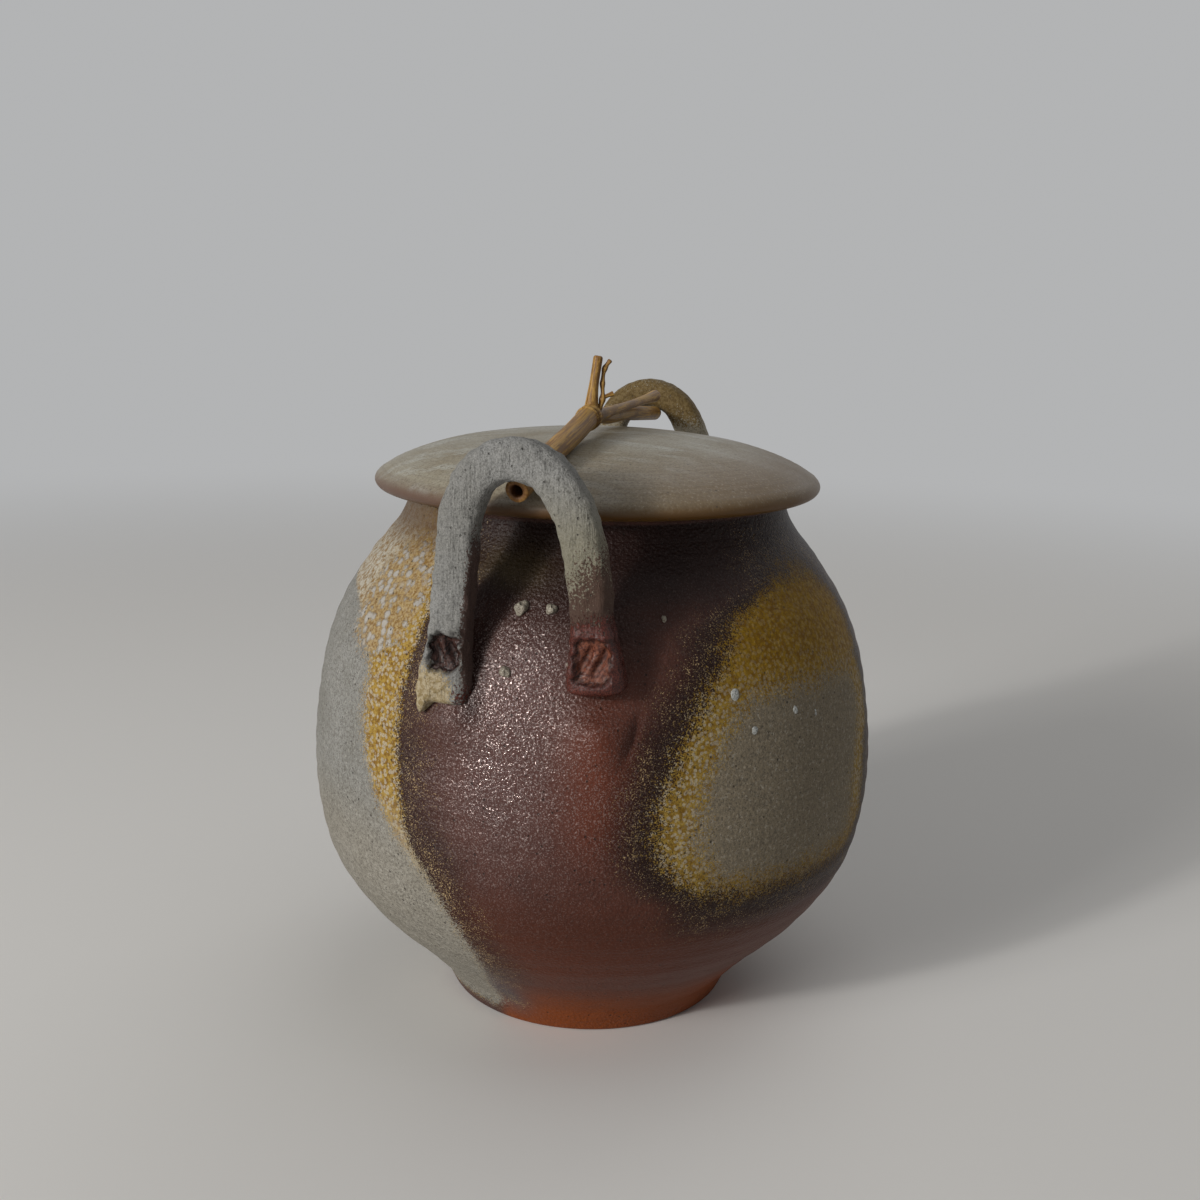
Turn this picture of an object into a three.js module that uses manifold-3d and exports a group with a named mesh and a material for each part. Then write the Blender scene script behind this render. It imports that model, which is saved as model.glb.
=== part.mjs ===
// A wood-fired stoneware jar with a domed lid, two clay lugs on its shoulder and a bamboo
// stick laid across the lid and tucked under both lugs. Millimetres, +Z up, origin at the
// middle of the foot; the front lug stands on -Y and the stick runs along Y.
import * as THREE from "three";
import { mergeVertices } from "three/addons/utils/BufferGeometryUtils.js";
import Module from "manifold-3d";

const wasm = await Module();
wasm.setup();

// Jar
const BELLY_R = 85;
const BELLY_Z = 79;
const RIM_Z = 155.6;
const RIM_W = 6.5;
const RIM_LIP = 2;
const RIM_EDGE = 1.2;
const MOUTH_EDGE = 0.8;
const WALL = 7;
const FLOOR_T = 9;
const FLOOR_ROUND = 2;
const FOOT_R = 43;
const FOOT_H = 8;
const FOOT_FLARE = 4;
const FOOT_EDGE = 1.5;
const FOOT_RING_W = 9;
const FOOT_RECESS = 3;
// Swellings of the wall below the lugs' feet
const PAD_UP = 26;
const PAD_SWELL = 2.6;
const PAD_HALF_W = 8.5;
const PAD_HALF_H = 7.5;
// Lugs
const LUG_INSET = 7.65;
const LUG_D = 9.6;
const LUG_W = 10.6;
const FRONT_TOP_W = 10.8;
const REAR_TOP_W = 9.4;
const LUG_HALF_SPAN = 17.2;
const ARCH_DROP = 27;
const FRONT_ARCH_RISE = 6.7;
const REAR_ARCH_RISE = 13.4;
const FRONT_LEAN = 2;
const REAR_LEAN = 0.7;
const FOOT_UP = 4;
// How much higher the front lug's right foot ends than its left
const FRONT_STEP = 5.5;
const FOOT_SPLAY = 3.2;
const FOOT_SPREAD = 2.2;
const FOOT_THICKEN = 0.5;
const FOOT_REACH = 20;
const NICK_W = 3;
const NICK_L = 8.4;
const NICK_DEPTH = 1.7;
const NICK_APART = 4;
const NICK_UP = 9;
// Lid
const LID_PLAY = 6.2;
const LID_OVERHANG = 10.25;
const LID_EDGE_H = 5.2;
const LID_ROLL = 5;
const DOME_RISE = 12.1;
const LID_T = 7.5;
const LID_LEDGE = 1;
const HOLLOW_FALL = 2.2;
const FLANGE_H = 8;
const FLANGE_T = 5;
const FLANGE_TAPER = 0.5;
const BORE_MORE = 2.5;
// Bamboo stick
const CULM_R = 3.15;
const CULM_THIN = 0.8;
const NODE_Y = -14.5;
const NODE_SWELL = 0.55;
const NODE_HALF_L = 1.7;
const BORE_R = 1.7;
const BORE_DEPTH = 9;
const FRONT_TUCK = 0.8;
const FRONT_DROP = 0.6;
const REAR_TUCK = 1.2;
const STICK_SKEW = 2.8;
const STICK_LIFT = 1;
const STUB_H = 17.2;
const STUB_R = 1.4;
const TWIG_R = 0.75;
const SIDE_L = 66;
const SIDE_R = 1.4;
// Softness of a lug's section: 2 is an ellipse, more is squarer
const LUG_SQUARE = 2.5;
// Lean of the nicks, in radians
const NICK_LEAN = 0.5;
// Clearances between touching pieces
const SEAT_GAP = 0.3;
const FLANGE_GAP = 0.9;
const STICK_GAP = 0.4;
// Facets
const TURNED_SIDES = 64;
const WALL_STEPS = 18;
const DOME_STEPS = 14;
const HOLLOW_STEPS = 6;
const LUG_STEPS = 32;
const LUG_SIDES = 12;
const CULM_STEPS = 20;
const CULM_SIDES = 14;
const TWIG_SIDES = 8;
const SEARCH_STEPS = 400;

// The lugs stand on the shoulder, the lid fits between them with play, and the neck is
// set in below the lid's edge.
const LUG_Y = BELLY_R - LUG_INSET;
const lugBackY = LUG_Y - LUG_D / 2;
const LID_R = lugBackY - LID_PLAY;
const NECK_R = LID_R - LID_OVERHANG;
const MOUTH_R = NECK_R - RIM_W;
const LID_Z = RIM_Z + SEAT_GAP;
const RIDGE_Z = LID_Z + LID_EDGE_H;
const CROWN_Z = RIDGE_Z + DOME_RISE;
const PAD_Z = BELLY_Z + PAD_UP;
const LUG_FOOT_Z = PAD_Z + FOOT_UP;

const v2 = (r, z) => new THREE.Vector2(r, z);
const v3 = (x, y, z) => new THREE.Vector3(x, y, z);
const mix = THREE.MathUtils.lerp;
const bell = (x) => Math.exp(-x * x);

// Keeps only the positions, joins shared corners and drops the slivers that a profile's end
// on the axis leaves, then turns every face outwards.
function tidy(geometry) {
  const bare = new THREE.BufferGeometry();
  bare.setAttribute("position", geometry.getAttribute("position").clone());
  bare.setIndex(geometry.getIndex());
  const joined = mergeVertices(bare, 1e-4);
  const corner = joined.getAttribute("position");
  const index = joined.getIndex().array;
  const kept = [];
  let volume = 0;
  const a = new THREE.Vector3();
  const b = new THREE.Vector3();
  const c = new THREE.Vector3();
  for (let i = 0; i < index.length; i += 3) {
    const [p, q, r] = [index[i], index[i + 1], index[i + 2]];
    if (p === q || q === r || r === p) continue;
    kept.push(p, q, r);
    a.fromBufferAttribute(corner, p);
    b.fromBufferAttribute(corner, q);
    c.fromBufferAttribute(corner, r);
    volume += a.dot(b.cross(c));
  }
  if (volume < 0) kept.reverse();
  joined.setIndex(kept);
  return joined;
}

function toSolid(geometry) {
  const clean = tidy(geometry);
  return new wasm.Manifold(new wasm.Mesh({
    numProp: 3,
    vertProperties: Float32Array.from(clean.getAttribute("position").array),
    triVerts: Uint32Array.from(clean.getIndex().array),
  }));
}

function toGeometry(solid) {
  const mesh = solid.getMesh();
  const geometry = new THREE.BufferGeometry();
  geometry.setAttribute("position", new THREE.BufferAttribute(Float32Array.from(mesh.vertProperties), 3));
  geometry.setIndex(Array.from(mesh.triVerts));
  return geometry;
}

// Turns a profile of (radius, height) points about the Z axis, the seam at the front.
function turned(profile) {
  return new THREE.LatheGeometry(profile, TURNED_SIDES).rotateX(Math.PI / 2);
}

// Skins a row of rings that have the same number of points and closes both ends flat.
function loft(rings) {
  const sides = rings[0].length;
  const index = [];
  for (let k = 0; k + 1 < rings.length; k += 1) {
    for (let i = 0; i < sides; i += 1) {
      const j = (i + 1) % sides;
      const low = k * sides;
      const high = low + sides;
      index.push(low + i, low + j, high + j, low + i, high + j, high + i);
    }
  }
  const last = (rings.length - 1) * sides;
  for (let i = 1; i + 1 < sides; i += 1) {
    index.push(0, i + 1, i, last, last + i, last + i + 1);
  }
  const geometry = new THREE.BufferGeometry().setFromPoints(rings.flat());
  geometry.setIndex(index);
  return geometry;
}

// The jar's outside from the foot to the rim: pairs give the share of the height and the
// share of the change in radius that the wall has made by there.
const LOWER_WALL = [[0, 0], [0.16, 0.28], [0.34, 0.615], [0.56, 0.88], [0.78, 0.98], [1, 1]];
const UPPER_WALL = [[0.21, 0.05], [0.43, 0.16], [0.61, 0.345], [0.78, 0.635], [0.92, 0.91], [1, 1]];

function outerWall() {
  const foot = FOOT_R + FOOT_FLARE;
  const lip = RIM_Z - RIM_LIP;
  const lower = LOWER_WALL.map(([t, s]) => v2(mix(foot, BELLY_R, s), mix(FOOT_H, BELLY_Z, t)));
  const upper = UPPER_WALL.map(([t, s]) => v2(mix(BELLY_R, NECK_R, s), mix(BELLY_Z, lip, t)));
  return new THREE.SplineCurve([...lower, ...upper]).getPoints(WALL_STEPS);
}

// How far the wall stands out below the lugs' feet, where the clay was pushed up to them.
const footAngle = Math.atan2(LUG_HALF_SPAN + FOOT_SPLAY, LUG_Y);

function swell(x, y, z) {
  const radius = Math.hypot(x, y);
  const side = Math.atan2(Math.abs(x), Math.abs(y));
  const across = bell(((side - footAngle) * radius) / PAD_HALF_W);
  return PAD_SWELL * across * bell((z - PAD_Z) / PAD_HALF_H);
}

function swollen(geometry, extra) {
  const at = geometry.getAttribute("position");
  for (let i = 0; i < at.count; i += 1) {
    const [x, y, z] = [at.getX(i), at.getY(i), at.getZ(i)];
    const radius = Math.hypot(x, y);
    if (radius < SEAT_GAP) continue;
    const grow = (radius + swell(x, y, z) + extra) / radius;
    at.setXYZ(i, x * grow, y * grow, z);
  }
  return geometry;
}

const wall = outerWall();
const rimEdge = [v2(NECK_R, RIM_Z - RIM_EDGE), v2(NECK_R - RIM_EDGE, RIM_Z)];

// The inside follows the outside at the wall's thickness, from the floor's edge up to the
// straight bore of the mouth, which is deeper than the lid's flange.
function innerWall() {
  const floor = FOOT_RECESS + FLOOR_T;
  const boreZ = RIM_Z - FLANGE_H - BORE_MORE;
  const inside = [];
  for (let i = 1; i + 1 < wall.length; i += 1) {
    const along = wall[i + 1].clone().sub(wall[i - 1]).normalize();
    const point = wall[i].clone().add(v2(-along.y, along.x).multiplyScalar(WALL));
    const onWall = point.y > floor + FLOOR_ROUND && point.y < boreZ - BORE_MORE;
    if (onWall && point.x > MOUTH_R) inside.push(point);
  }
  return [v2(0, floor), v2(inside[0].x - WALL, floor), ...inside, v2(MOUTH_R, boreZ)];
}

const jarProfile = [
  v2(0, FOOT_RECESS),
  v2(FOOT_R - FOOT_RING_W - FOOT_EDGE, FOOT_RECESS),
  v2(FOOT_R - FOOT_RING_W, 0),
  v2(FOOT_R - FOOT_EDGE, 0),
  v2(FOOT_R, FOOT_EDGE),
  v2(FOOT_R + FOOT_FLARE * 0.8, FOOT_H - FOOT_EDGE),
  ...wall,
  ...rimEdge,
  v2(MOUTH_R + MOUTH_EDGE, RIM_Z),
  v2(MOUTH_R, RIM_Z - MOUTH_EDGE),
  ...innerWall().reverse(),
];
const jarGeometry = tidy(swollen(turned(jarProfile), 0));

// The jar filled solid and a hair larger, to cut the lugs' feet to the wall they sit on.
const jarFilled = toSolid(swollen(turned([
  v2(0, FOOT_H), ...wall, ...rimEdge, v2(0, RIM_Z),
]), SEAT_GAP));

// Lid: pairs give the share of the ridge's radius and the share of the dome's fall, then
// the share of the rolled edge's depth and the share of its height.
const DOME = [
  [0, 0], [0.27, 0.04], [0.44, 0.12], [0.58, 0.22], [0.71, 0.35], [0.85, 0.585], [0.94, 0.8], [1, 1],
];
const ROLL = [[0.26, 1], [0.05, 0.75], [0, 0.5], [0.18, 0.22], [0.64, 0.04], [1, 0]];
const ridgeR = LID_R - LID_ROLL * ROLL[0][0];
const dome = new THREE.SplineCurve(
  DOME.map(([r, fall]) => v2(ridgeR * r, CROWN_Z - DOME_RISE * fall)),
).getPoints(DOME_STEPS);
const flangeR = MOUTH_R - FLANGE_GAP;
const hollowR = flangeR - FLANGE_T;
const ceilingZ = CROWN_Z - LID_T;
const hollow = new THREE.SplineCurve([
  v2(hollowR, LID_Z + LID_LEDGE),
  v2(hollowR * 0.62, ceilingZ - HOLLOW_FALL),
  v2(0, ceilingZ),
]).getPoints(HOLLOW_STEPS);
const lidProfile = [
  ...dome,
  ...ROLL.slice(1).map(([inward, up]) => v2(LID_R - LID_ROLL * inward, LID_Z + LID_EDGE_H * up)),
  v2(flangeR, LID_Z),
  v2(flangeR - FLANGE_TAPER, LID_Z - FLANGE_H),
  v2(hollowR, LID_Z - FLANGE_H),
  ...hollow,
];
const lidGeometry = tidy(turned(lidProfile));

function domeZ(radius) {
  const r = Math.min(Math.abs(radius), ridgeR);
  const k = Math.max(1, dome.findIndex((point) => point.x >= r));
  const [near, far] = [dome[k - 1], dome[k]];
  return mix(near.y, far.y, (r - near.x) / (far.x - near.x));
}

// A lug is one strap of clay bent into an arch: a soft-cornered section carried up one leg,
// over the top and down the other, its ends spread and thickened where they are pressed on.
// The lean carries the top of the arch to one side, and the step raises the right foot.
function lugRings(archZ, topW, lean, step) {
  const half = LUG_HALF_SPAN;
  const spring = archZ - ARCH_DROP;
  const leg = (footZ) => [
    [half + FOOT_SPLAY, footZ],
    [half + FOOT_SPLAY * 0.55, mix(footZ, spring, 0.5)],
    [half, spring],
    [half * 0.87, spring + ARCH_DROP * 0.48],
    [half * 0.5, spring + ARCH_DROP * 0.88],
  ];
  const aside = (z) => lean * Math.max(0, (z - spring) / ARCH_DROP);
  const left = leg(LUG_FOOT_Z).map(([x, z]) => v3(-x - aside(z), 0, z));
  const right = leg(LUG_FOOT_Z + step).map(([x, z]) => v3(x - aside(z), 0, z)).reverse();
  const path = new THREE.CatmullRomCurve3([...left, v3(-lean, 0, archZ), ...right]);
  const rings = [];
  for (let k = 0; k <= LUG_STEPS; k += 1) {
    const t = k / LUG_STEPS;
    const centre = path.getPointAt(t);
    const along = path.getTangentAt(t);
    const across = v3(along.z, 0, -along.x);
    const footZ = LUG_FOOT_Z + (centre.x > 0 ? step : 0);
    const toFoot = THREE.MathUtils.smoothstep(footZ + FOOT_REACH - centre.z, 0, FOOT_REACH * 0.9);
    const overTop = bell((t - 0.5) / 0.1);
    const halfW = mix(LUG_W, topW, overTop) / 2 + FOOT_SPREAD * toFoot;
    const halfD = LUG_D / 2 + FOOT_THICKEN * toFoot;
    const ring = [];
    for (let i = 0; i < LUG_SIDES; i += 1) {
      const angle = (2 * Math.PI * i) / LUG_SIDES;
      const [c, s] = [Math.cos(angle), Math.sin(angle)];
      const square = (Math.abs(c) ** LUG_SQUARE + Math.abs(s) ** LUG_SQUARE) ** (-1 / LUG_SQUARE);
      const point = centre.clone().addScaledVector(across, halfW * square * c);
      point.y += halfD * square * s;
      ring.push(point);
    }
    rings.push(ring);
  }
  return rings;
}

// Two slanting nicks from a stick's rounded end, pressed into each foot to fix it.
function footNicks(step) {
  const nicks = [];
  const faceY = -(LUG_D / 2 + FOOT_THICKEN);
  for (const side of [-1, 1]) {
    for (const hand of [-1, 1]) {
      const nick = new THREE.SphereGeometry(1, 8, 6);
      nick.scale(NICK_W / 2, NICK_DEPTH, NICK_L / 2);
      nick.rotateY(side * hand * NICK_LEAN);
      const x = side * (LUG_HALF_SPAN + FOOT_SPLAY * 0.8) + (hand * NICK_APART) / 2;
      nick.translate(x, faceY, LUG_FOOT_Z + (side > 0 ? step : 0) + NICK_UP);
      nicks.push(toSolid(nick));
    }
  }
  return nicks;
}

function lugGeometry(archZ, topW, lean, step, facing) {
  let lug = toSolid(loft(lugRings(archZ, topW, lean, step)));
  for (const nick of footNicks(step)) lug = lug.subtract(nick);
  const placed = toGeometry(lug).rotateZ(facing === "front" ? 0 : Math.PI);
  placed.translate(0, facing === "front" ? -LUG_Y : LUG_Y, 0);
  return toGeometry(toSolid(placed).subtract(jarFilled));
}

const frontArchZ = RIDGE_Z + FRONT_ARCH_RISE + FRONT_TOP_W / 2;
const rearArchZ = RIDGE_Z + REAR_ARCH_RISE + REAR_TOP_W / 2;
const frontLugGeometry = lugGeometry(frontArchZ, FRONT_TOP_W, FRONT_LEAN, FRONT_STEP, "front");
const rearLugGeometry = lugGeometry(rearArchZ, REAR_TOP_W, -REAR_LEAN, 0, "rear");

// The stick's middle line: tucked under the rounded back edge of the front lug, up along the
// lid's slope, bent at the joint of the bamboo above the crown, and down, thinner beyond its
// joint, to the rear lug's edge. Each row of the course gives the share of the way to the
// lugs, of the skew and of the lift off the lid.
const rearR = CULM_R - CULM_THIN;

function endZ(archZ, topW, tuck, radius) {
  const share = 1 - (2 * tuck + radius / 2) / LUG_D;
  return archZ - (topW / 2) * (1 - share ** LUG_SQUARE) ** (1 / LUG_SQUARE) - radius - STICK_GAP;
}

const COURSE = [
  [-0.717, -0.2, 0.3], [-0.455, 0.2, 0.35], [NODE_Y / lugBackY, 0.4, 2.2],
  [0.083, 0.45, 1.1], [0.35, 0.5, 1.4], [0.6, 0.55, 2.5],
];
const frontEndZ = endZ(frontArchZ, FRONT_TOP_W, FRONT_TUCK, CULM_R) - FRONT_DROP;
const rearEndZ = endZ(rearArchZ, REAR_TOP_W, REAR_TUCK, rearR);
const culmPath = new THREE.CatmullRomCurve3([
  v3(-STICK_SKEW, -lugBackY - FRONT_TUCK, frontEndZ),
  ...COURSE.map(([way, skew, lift]) => {
    const y = lugBackY * way;
    const radius = y > NODE_Y ? rearR : CULM_R;
    return v3(STICK_SKEW * skew, y, domeZ(y) + radius + STICK_GAP + STICK_LIFT * lift);
  }),
  v3(STICK_SKEW * 0.6, lugBackY + REAR_TUCK, rearEndZ),
], false, "centripetal");

function tubeRings(path, radii, sides) {
  return radii.map(([t, radius]) => {
    const centre = path.getPointAt(t);
    const along = path.getTangentAt(t);
    const sideways = v3(0, 0, 1).cross(along);
    if (sideways.lengthSq() < 0.01) sideways.set(1, 0, 0);
    sideways.normalize();
    const upward = along.clone().cross(sideways).normalize();
    const ring = [];
    for (let i = 0; i < sides; i += 1) {
      const angle = (2 * Math.PI * i) / sides;
      ring.push(centre.clone()
        .addScaledVector(sideways, radius * Math.cos(angle))
        .addScaledVector(upward, radius * Math.sin(angle)));
    }
    return ring;
  });
}

// The culm's rings are even along its length, with more of them over the swollen joint.
const culmLength = culmPath.getLength();
const fine = culmPath.getSpacedPoints(SEARCH_STEPS);
const nodeShare = fine.findIndex((point) => point.y >= NODE_Y) / SEARCH_STEPS;
const nodeSpan = NODE_HALF_L / culmLength;
const stations = [-1.8, -1.1, -0.4, 0.4, 1.1, 1.8].map((step) => nodeShare + step * nodeSpan);
for (let k = 0; k <= CULM_STEPS; k += 1) stations.push(k / CULM_STEPS);
stations.sort((a, b) => a - b);
const culmRings = stations.map((t) => {
  const knot = NODE_SWELL * bell((t - nodeShare) / nodeSpan);
  const beyond = THREE.MathUtils.smoothstep(t, nodeShare - nodeSpan, nodeShare + 2 * nodeSpan);
  return [t, CULM_R - CULM_THIN * beyond + knot];
});

// Branch stubs leave the joint of the bamboo: one upright, a thin twig beside it with a
// short nub, and a longer one lying back above the stick with a spread, cut end. Each has
// a course in shares of its length and its thickness at even steps.
const STUB = [[0, 0, 0.053], [0.02, 0.03, 0.4], [0.087, 0.087, 1]];
const TWIG = [
  [0.08, 0.05, 0.05], [0.136, 0.08, 0.155], [0.169, 0.106, 0.31], [0.157, 0.13, 0.55],
  [0.182, 0.16, 0.785], [0.276, 0.17, 0.933],
];
const NUB = [[0.165, 0.106, 0.3], [0.25, 0.155, 0.345], [0.33, 0.2, 0.376]];
const SIDE = [[0.012, 0.015, -0.002], [0.04, 0.33, 0.008], [0.06, 0.66, 0.014], [0.08, 1, 0.024]];
const node = culmPath.getPointAt(nodeShare);

function branch(course, length, thickness, radius) {
  const points = course.map(([x, y, z]) => v3(x, y, z).multiplyScalar(length).add(node));
  const radii = thickness.map((share, i) => [i / (thickness.length - 1), radius * share]);
  return toSolid(loft(tubeRings(new THREE.CatmullRomCurve3(points), radii, TWIG_SIDES)));
}

let stick = toSolid(loft(tubeRings(culmPath, culmRings, CULM_SIDES)));
stick = stick.add(branch(STUB, STUB_H, [1.65, 1.25, 1, 0.97, 1], STUB_R));
stick = stick.add(branch(TWIG, STUB_H, [1.6, 1.15, 1.3, 0.85, 1.05, 0.8, 0.95], TWIG_R));
stick = stick.add(branch(NUB, STUB_H, [1, 0.9, 1.05], TWIG_R));
stick = stick.add(branch(SIDE, SIDE_L, [1.6, 1.15, 0.95, 0.95, 1.05, 1.4], SIDE_R));
for (const t of [0, 1]) {
  const end = culmPath.getPointAt(t);
  const bore = new THREE.CylinderGeometry(BORE_R, BORE_R, 2 * BORE_DEPTH, CULM_SIDES);
  bore.applyQuaternion(new THREE.Quaternion().setFromUnitVectors(v3(0, 1, 0), culmPath.getTangentAt(t)));
  bore.translate(end.x, end.y, end.z);
  stick = stick.subtract(toSolid(bore));
}

const clay = (colour, roughness) => new THREE.MeshStandardMaterial({ color: colour, roughness, metalness: 0 });
const jar = new THREE.Group();

function addPiece(name, geometry, material) {
  geometry.computeVertexNormals();
  const mesh = new THREE.Mesh(geometry, material);
  mesh.name = name;
  jar.add(mesh);
}

addPiece("jar_body", jarGeometry, clay(0x5f4a3c, 0.55));
addPiece("front_lug", frontLugGeometry, clay(0x6d655a, 0.8));
addPiece("rear_lug", rearLugGeometry, clay(0x7a735f, 0.75));
addPiece("lid", lidGeometry, clay(0x857a66, 0.5));
addPiece("bamboo_stick", toGeometry(stick), clay(0xb58f5c, 0.6));

export default jar;
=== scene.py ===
import math

import bpy
import numpy as np
from mathutils import Matrix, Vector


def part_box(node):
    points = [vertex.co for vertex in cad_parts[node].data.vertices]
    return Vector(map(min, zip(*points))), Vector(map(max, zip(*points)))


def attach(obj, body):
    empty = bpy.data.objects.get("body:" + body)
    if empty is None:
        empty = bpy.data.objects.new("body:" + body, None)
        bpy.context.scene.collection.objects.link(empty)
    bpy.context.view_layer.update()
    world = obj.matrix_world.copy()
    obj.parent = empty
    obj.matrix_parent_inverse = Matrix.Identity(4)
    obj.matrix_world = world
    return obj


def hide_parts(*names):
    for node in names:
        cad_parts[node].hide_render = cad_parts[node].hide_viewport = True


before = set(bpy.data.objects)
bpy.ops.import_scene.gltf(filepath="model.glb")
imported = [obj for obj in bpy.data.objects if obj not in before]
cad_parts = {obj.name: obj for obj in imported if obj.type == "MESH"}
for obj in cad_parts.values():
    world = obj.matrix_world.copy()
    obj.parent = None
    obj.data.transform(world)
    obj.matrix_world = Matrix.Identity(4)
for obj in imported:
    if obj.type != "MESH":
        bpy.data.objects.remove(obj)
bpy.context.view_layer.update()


# Jar. A round pot thrown in stoneware clay and trimmed to a small foot, then fired with
# wood: ash settled and melted on two of its sides, and the bare clay between them fired to
# a glossy red-brown. It carries the lugs on its shoulder and the lid in its mouth.
rim_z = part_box("jar_body")[1].z
belly_r = 0.085
belly_z = 0.079
neck_r = 0.0561
mouth_r = 0.0496
wall_t = 0.007
lip_h = 0.002
lip_ease = 0.012
bore_h = 0.0105
bore_ease = 0.0025
foot_r = 0.043
foot_h = 0.008
foot_flare = 0.004
foot_ring_w = 0.009
foot_recess = 0.003
floor_z = 0.012
floor_ease = 0.002
edge_round = 0.0012
axis_hole = 0.0015

# The clay pressed out round each lug's foot, the smear and crease below the front right one,
# and what the wheel left
lug_y = 0.07735
half_span = 0.0172
foot_splay = 0.0032
pad_z = 0.105
pad_swell = 0.0026
pad_half_w = 0.0085
pad_half_h = 0.0075
smear_turn = 15.5
smear_z = 0.1015
smear_swell = 0.0021
smear_half_w = 0.0075
smear_fall = 0.014
crease_turn = 21
crease_z = 0.104
crease_slant = 250
crease_depth = 0.0014
crease_half_w = 0.0011
crease_half_h = 0.006
throwing_step = 0.0061
throwing_depth = 0.00009
ridge_z = 0.1375
ridge_swell = 0.0003
ridge_half_h = 0.0012
wobble_depth = 0.0002

jar_columns = 432
wall_rows = 150

# Share of the height and share of the change in radius, foot to belly and belly to neck
lower_wall = [(0, 0), (0.16, 0.28), (0.34, 0.615), (0.56, 0.88), (0.78, 0.98), (1, 1)]
upper_wall = [(0.21, 0.05), (0.43, 0.16), (0.61, 0.345), (0.78, 0.635), (0.92, 0.91), (1, 1)]


def bell(x):
    """A smooth bump: 1 at nought, about a third at 1, next to nothing at 2."""
    return np.exp(-x * x)


def rise(low, high, x):
    """0 before low, 1 after high and a smooth S between; low above high makes it a fall."""
    t = np.clip((x - low) / (high - low), 0, 1)
    return t * t * (3 - 2 * t)


def steady(x, stations, values):
    """A smooth curve through values given at rising stations, read at x: cubic stretches with
    the slopes of the neighbouring values, level beyond the ends."""
    stations, values = np.asarray(stations, float), np.asarray(values, float)
    slopes = np.gradient(values, stations)
    x = np.clip(x, stations[0], stations[-1])
    k = np.clip(np.searchsorted(stations, x) - 1, 0, len(stations) - 2)
    span = stations[k + 1] - stations[k]
    t = (x - stations[k]) / span
    return ((1 + 2 * t) * (1 - t) ** 2 * values[k] + t * (1 - t) ** 2 * span * slopes[k]
            + t * t * (3 - 2 * t) * values[k + 1] - t * t * (1 - t) * span * slopes[k + 1])


def nearest(blend, *gaps):
    """The least of several distances, with their corners rounded over a blend."""
    return -blend * np.log(sum(np.exp(-gap / blend) for gap in gaps))


def headings(line):
    """The direction of a line at each of its points, of length 1, from the points beside it."""
    along = np.gradient(line, axis=0)
    return along / np.linalg.norm(along, axis=1)[:, None]


def lengths(line):
    """How far along a line each of its points lies: the sum of the steps before it."""
    return np.concatenate([[0], np.cumsum(np.linalg.norm(np.diff(line, axis=0), axis=1))])


def curve_through(knots, count):
    """Even points on a smooth curve through the knots. Each stretch is a cubic that leaves its
    knots along the parabola through their neighbours, paced by the root of the distances; the
    points are then spread evenly along its length."""
    knots = np.asarray(knots, float)
    padded = np.vstack([2 * knots[0] - knots[1], knots, 2 * knots[-1] - knots[-2]])
    pace = np.sqrt(np.linalg.norm(np.diff(padded, axis=0), axis=1))[:, None]
    chord = np.diff(padded, axis=0) / pace
    slope = chord[:-1] + chord[1:] - (padded[2:] - padded[:-2]) / (pace[:-1] + pace[1:])
    t = np.linspace(0, 1, 60, endpoint=False)[None, :, None]
    here, there = knots[:-1, None], knots[1:, None]
    leave, arrive = (slope[:-1] * pace[1:-1])[:, None], (slope[1:] * pace[1:-1])[:, None]
    fine = (here * (1 + 2 * t) * (1 - t) ** 2 + leave * t * (1 - t) ** 2
            + there * t * t * (3 - 2 * t) - arrive * t * t * (1 - t))
    fine = np.vstack([fine.reshape(-1, knots.shape[1]), knots[-1:]])
    gone = lengths(fine)
    even = np.linspace(0, gone[-1], count)
    return np.stack([np.interp(even, gone, column) for column in fine.T], axis=1)


def soft_corners(corners, cut, steps):
    """An outline whose inner corners are rounded: each becomes a quadratic curve between the
    points that lie a cut away from it on its two sides."""
    corners = np.asarray(corners, float)
    back = corners[:-2] - corners[1:-1]
    onward = corners[2:] - corners[1:-1]
    start = corners[1:-1] + back / np.linalg.norm(back, axis=1)[:, None] * cut
    stop = corners[1:-1] + onward / np.linalg.norm(onward, axis=1)[:, None] * cut
    t = np.linspace(0, 1, steps)[None, :, None]
    bends = (start[:, None] * (1 - t) ** 2 + corners[1:-1, None] * 2 * t * (1 - t)
             + stop[:, None] * t * t)
    return np.vstack([corners[:1], bends.reshape(-1, 2), corners[-1:]])


def skin(name, rings, marks):
    """A closed mesh over a grid of rings. Each ring joins round on itself, neighbours are joined
    by quads, and a fan to its middle closes each end. Marks are values kept at the points."""
    rows, sides, _ = rings.shape
    points = np.vstack([rings.reshape(-1, 3), rings[[0, -1]].mean(axis=1)])
    place = np.arange(rows * sides).reshape(rows, sides)
    beside = np.roll(place, -1, axis=1)
    quads = np.stack([place[:-1], beside[:-1], beside[1:], place[1:]], axis=-1).reshape(-1, 4)
    middle = np.full(sides, rows * sides)
    first = np.stack([middle, beside[0], place[0]], axis=-1)
    last = np.stack([middle + 1, place[-1], beside[-1]], axis=-1)
    mesh = bpy.data.meshes.new(name)
    mesh.from_pydata(points.tolist(), [], quads.tolist() + first.tolist() + last.tolist())
    mesh.shade_smooth()
    for mark_name, values in marks.items():
        wide = values.ndim == 3
        flat = values.reshape(rows * sides, -1)
        ends = values[[0, -1]].reshape(2, sides, -1).mean(axis=1)
        kept = mesh.attributes.new(mark_name, "FLOAT_VECTOR" if wide else "FLOAT", "POINT")
        values = np.vstack([flat, ends]).astype(np.float32).ravel()
        kept.data.foreach_set("vector" if wide else "value", values)
    piece = bpy.data.objects.new(name, mesh)
    bpy.context.scene.collection.objects.link(piece)
    return piece


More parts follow.
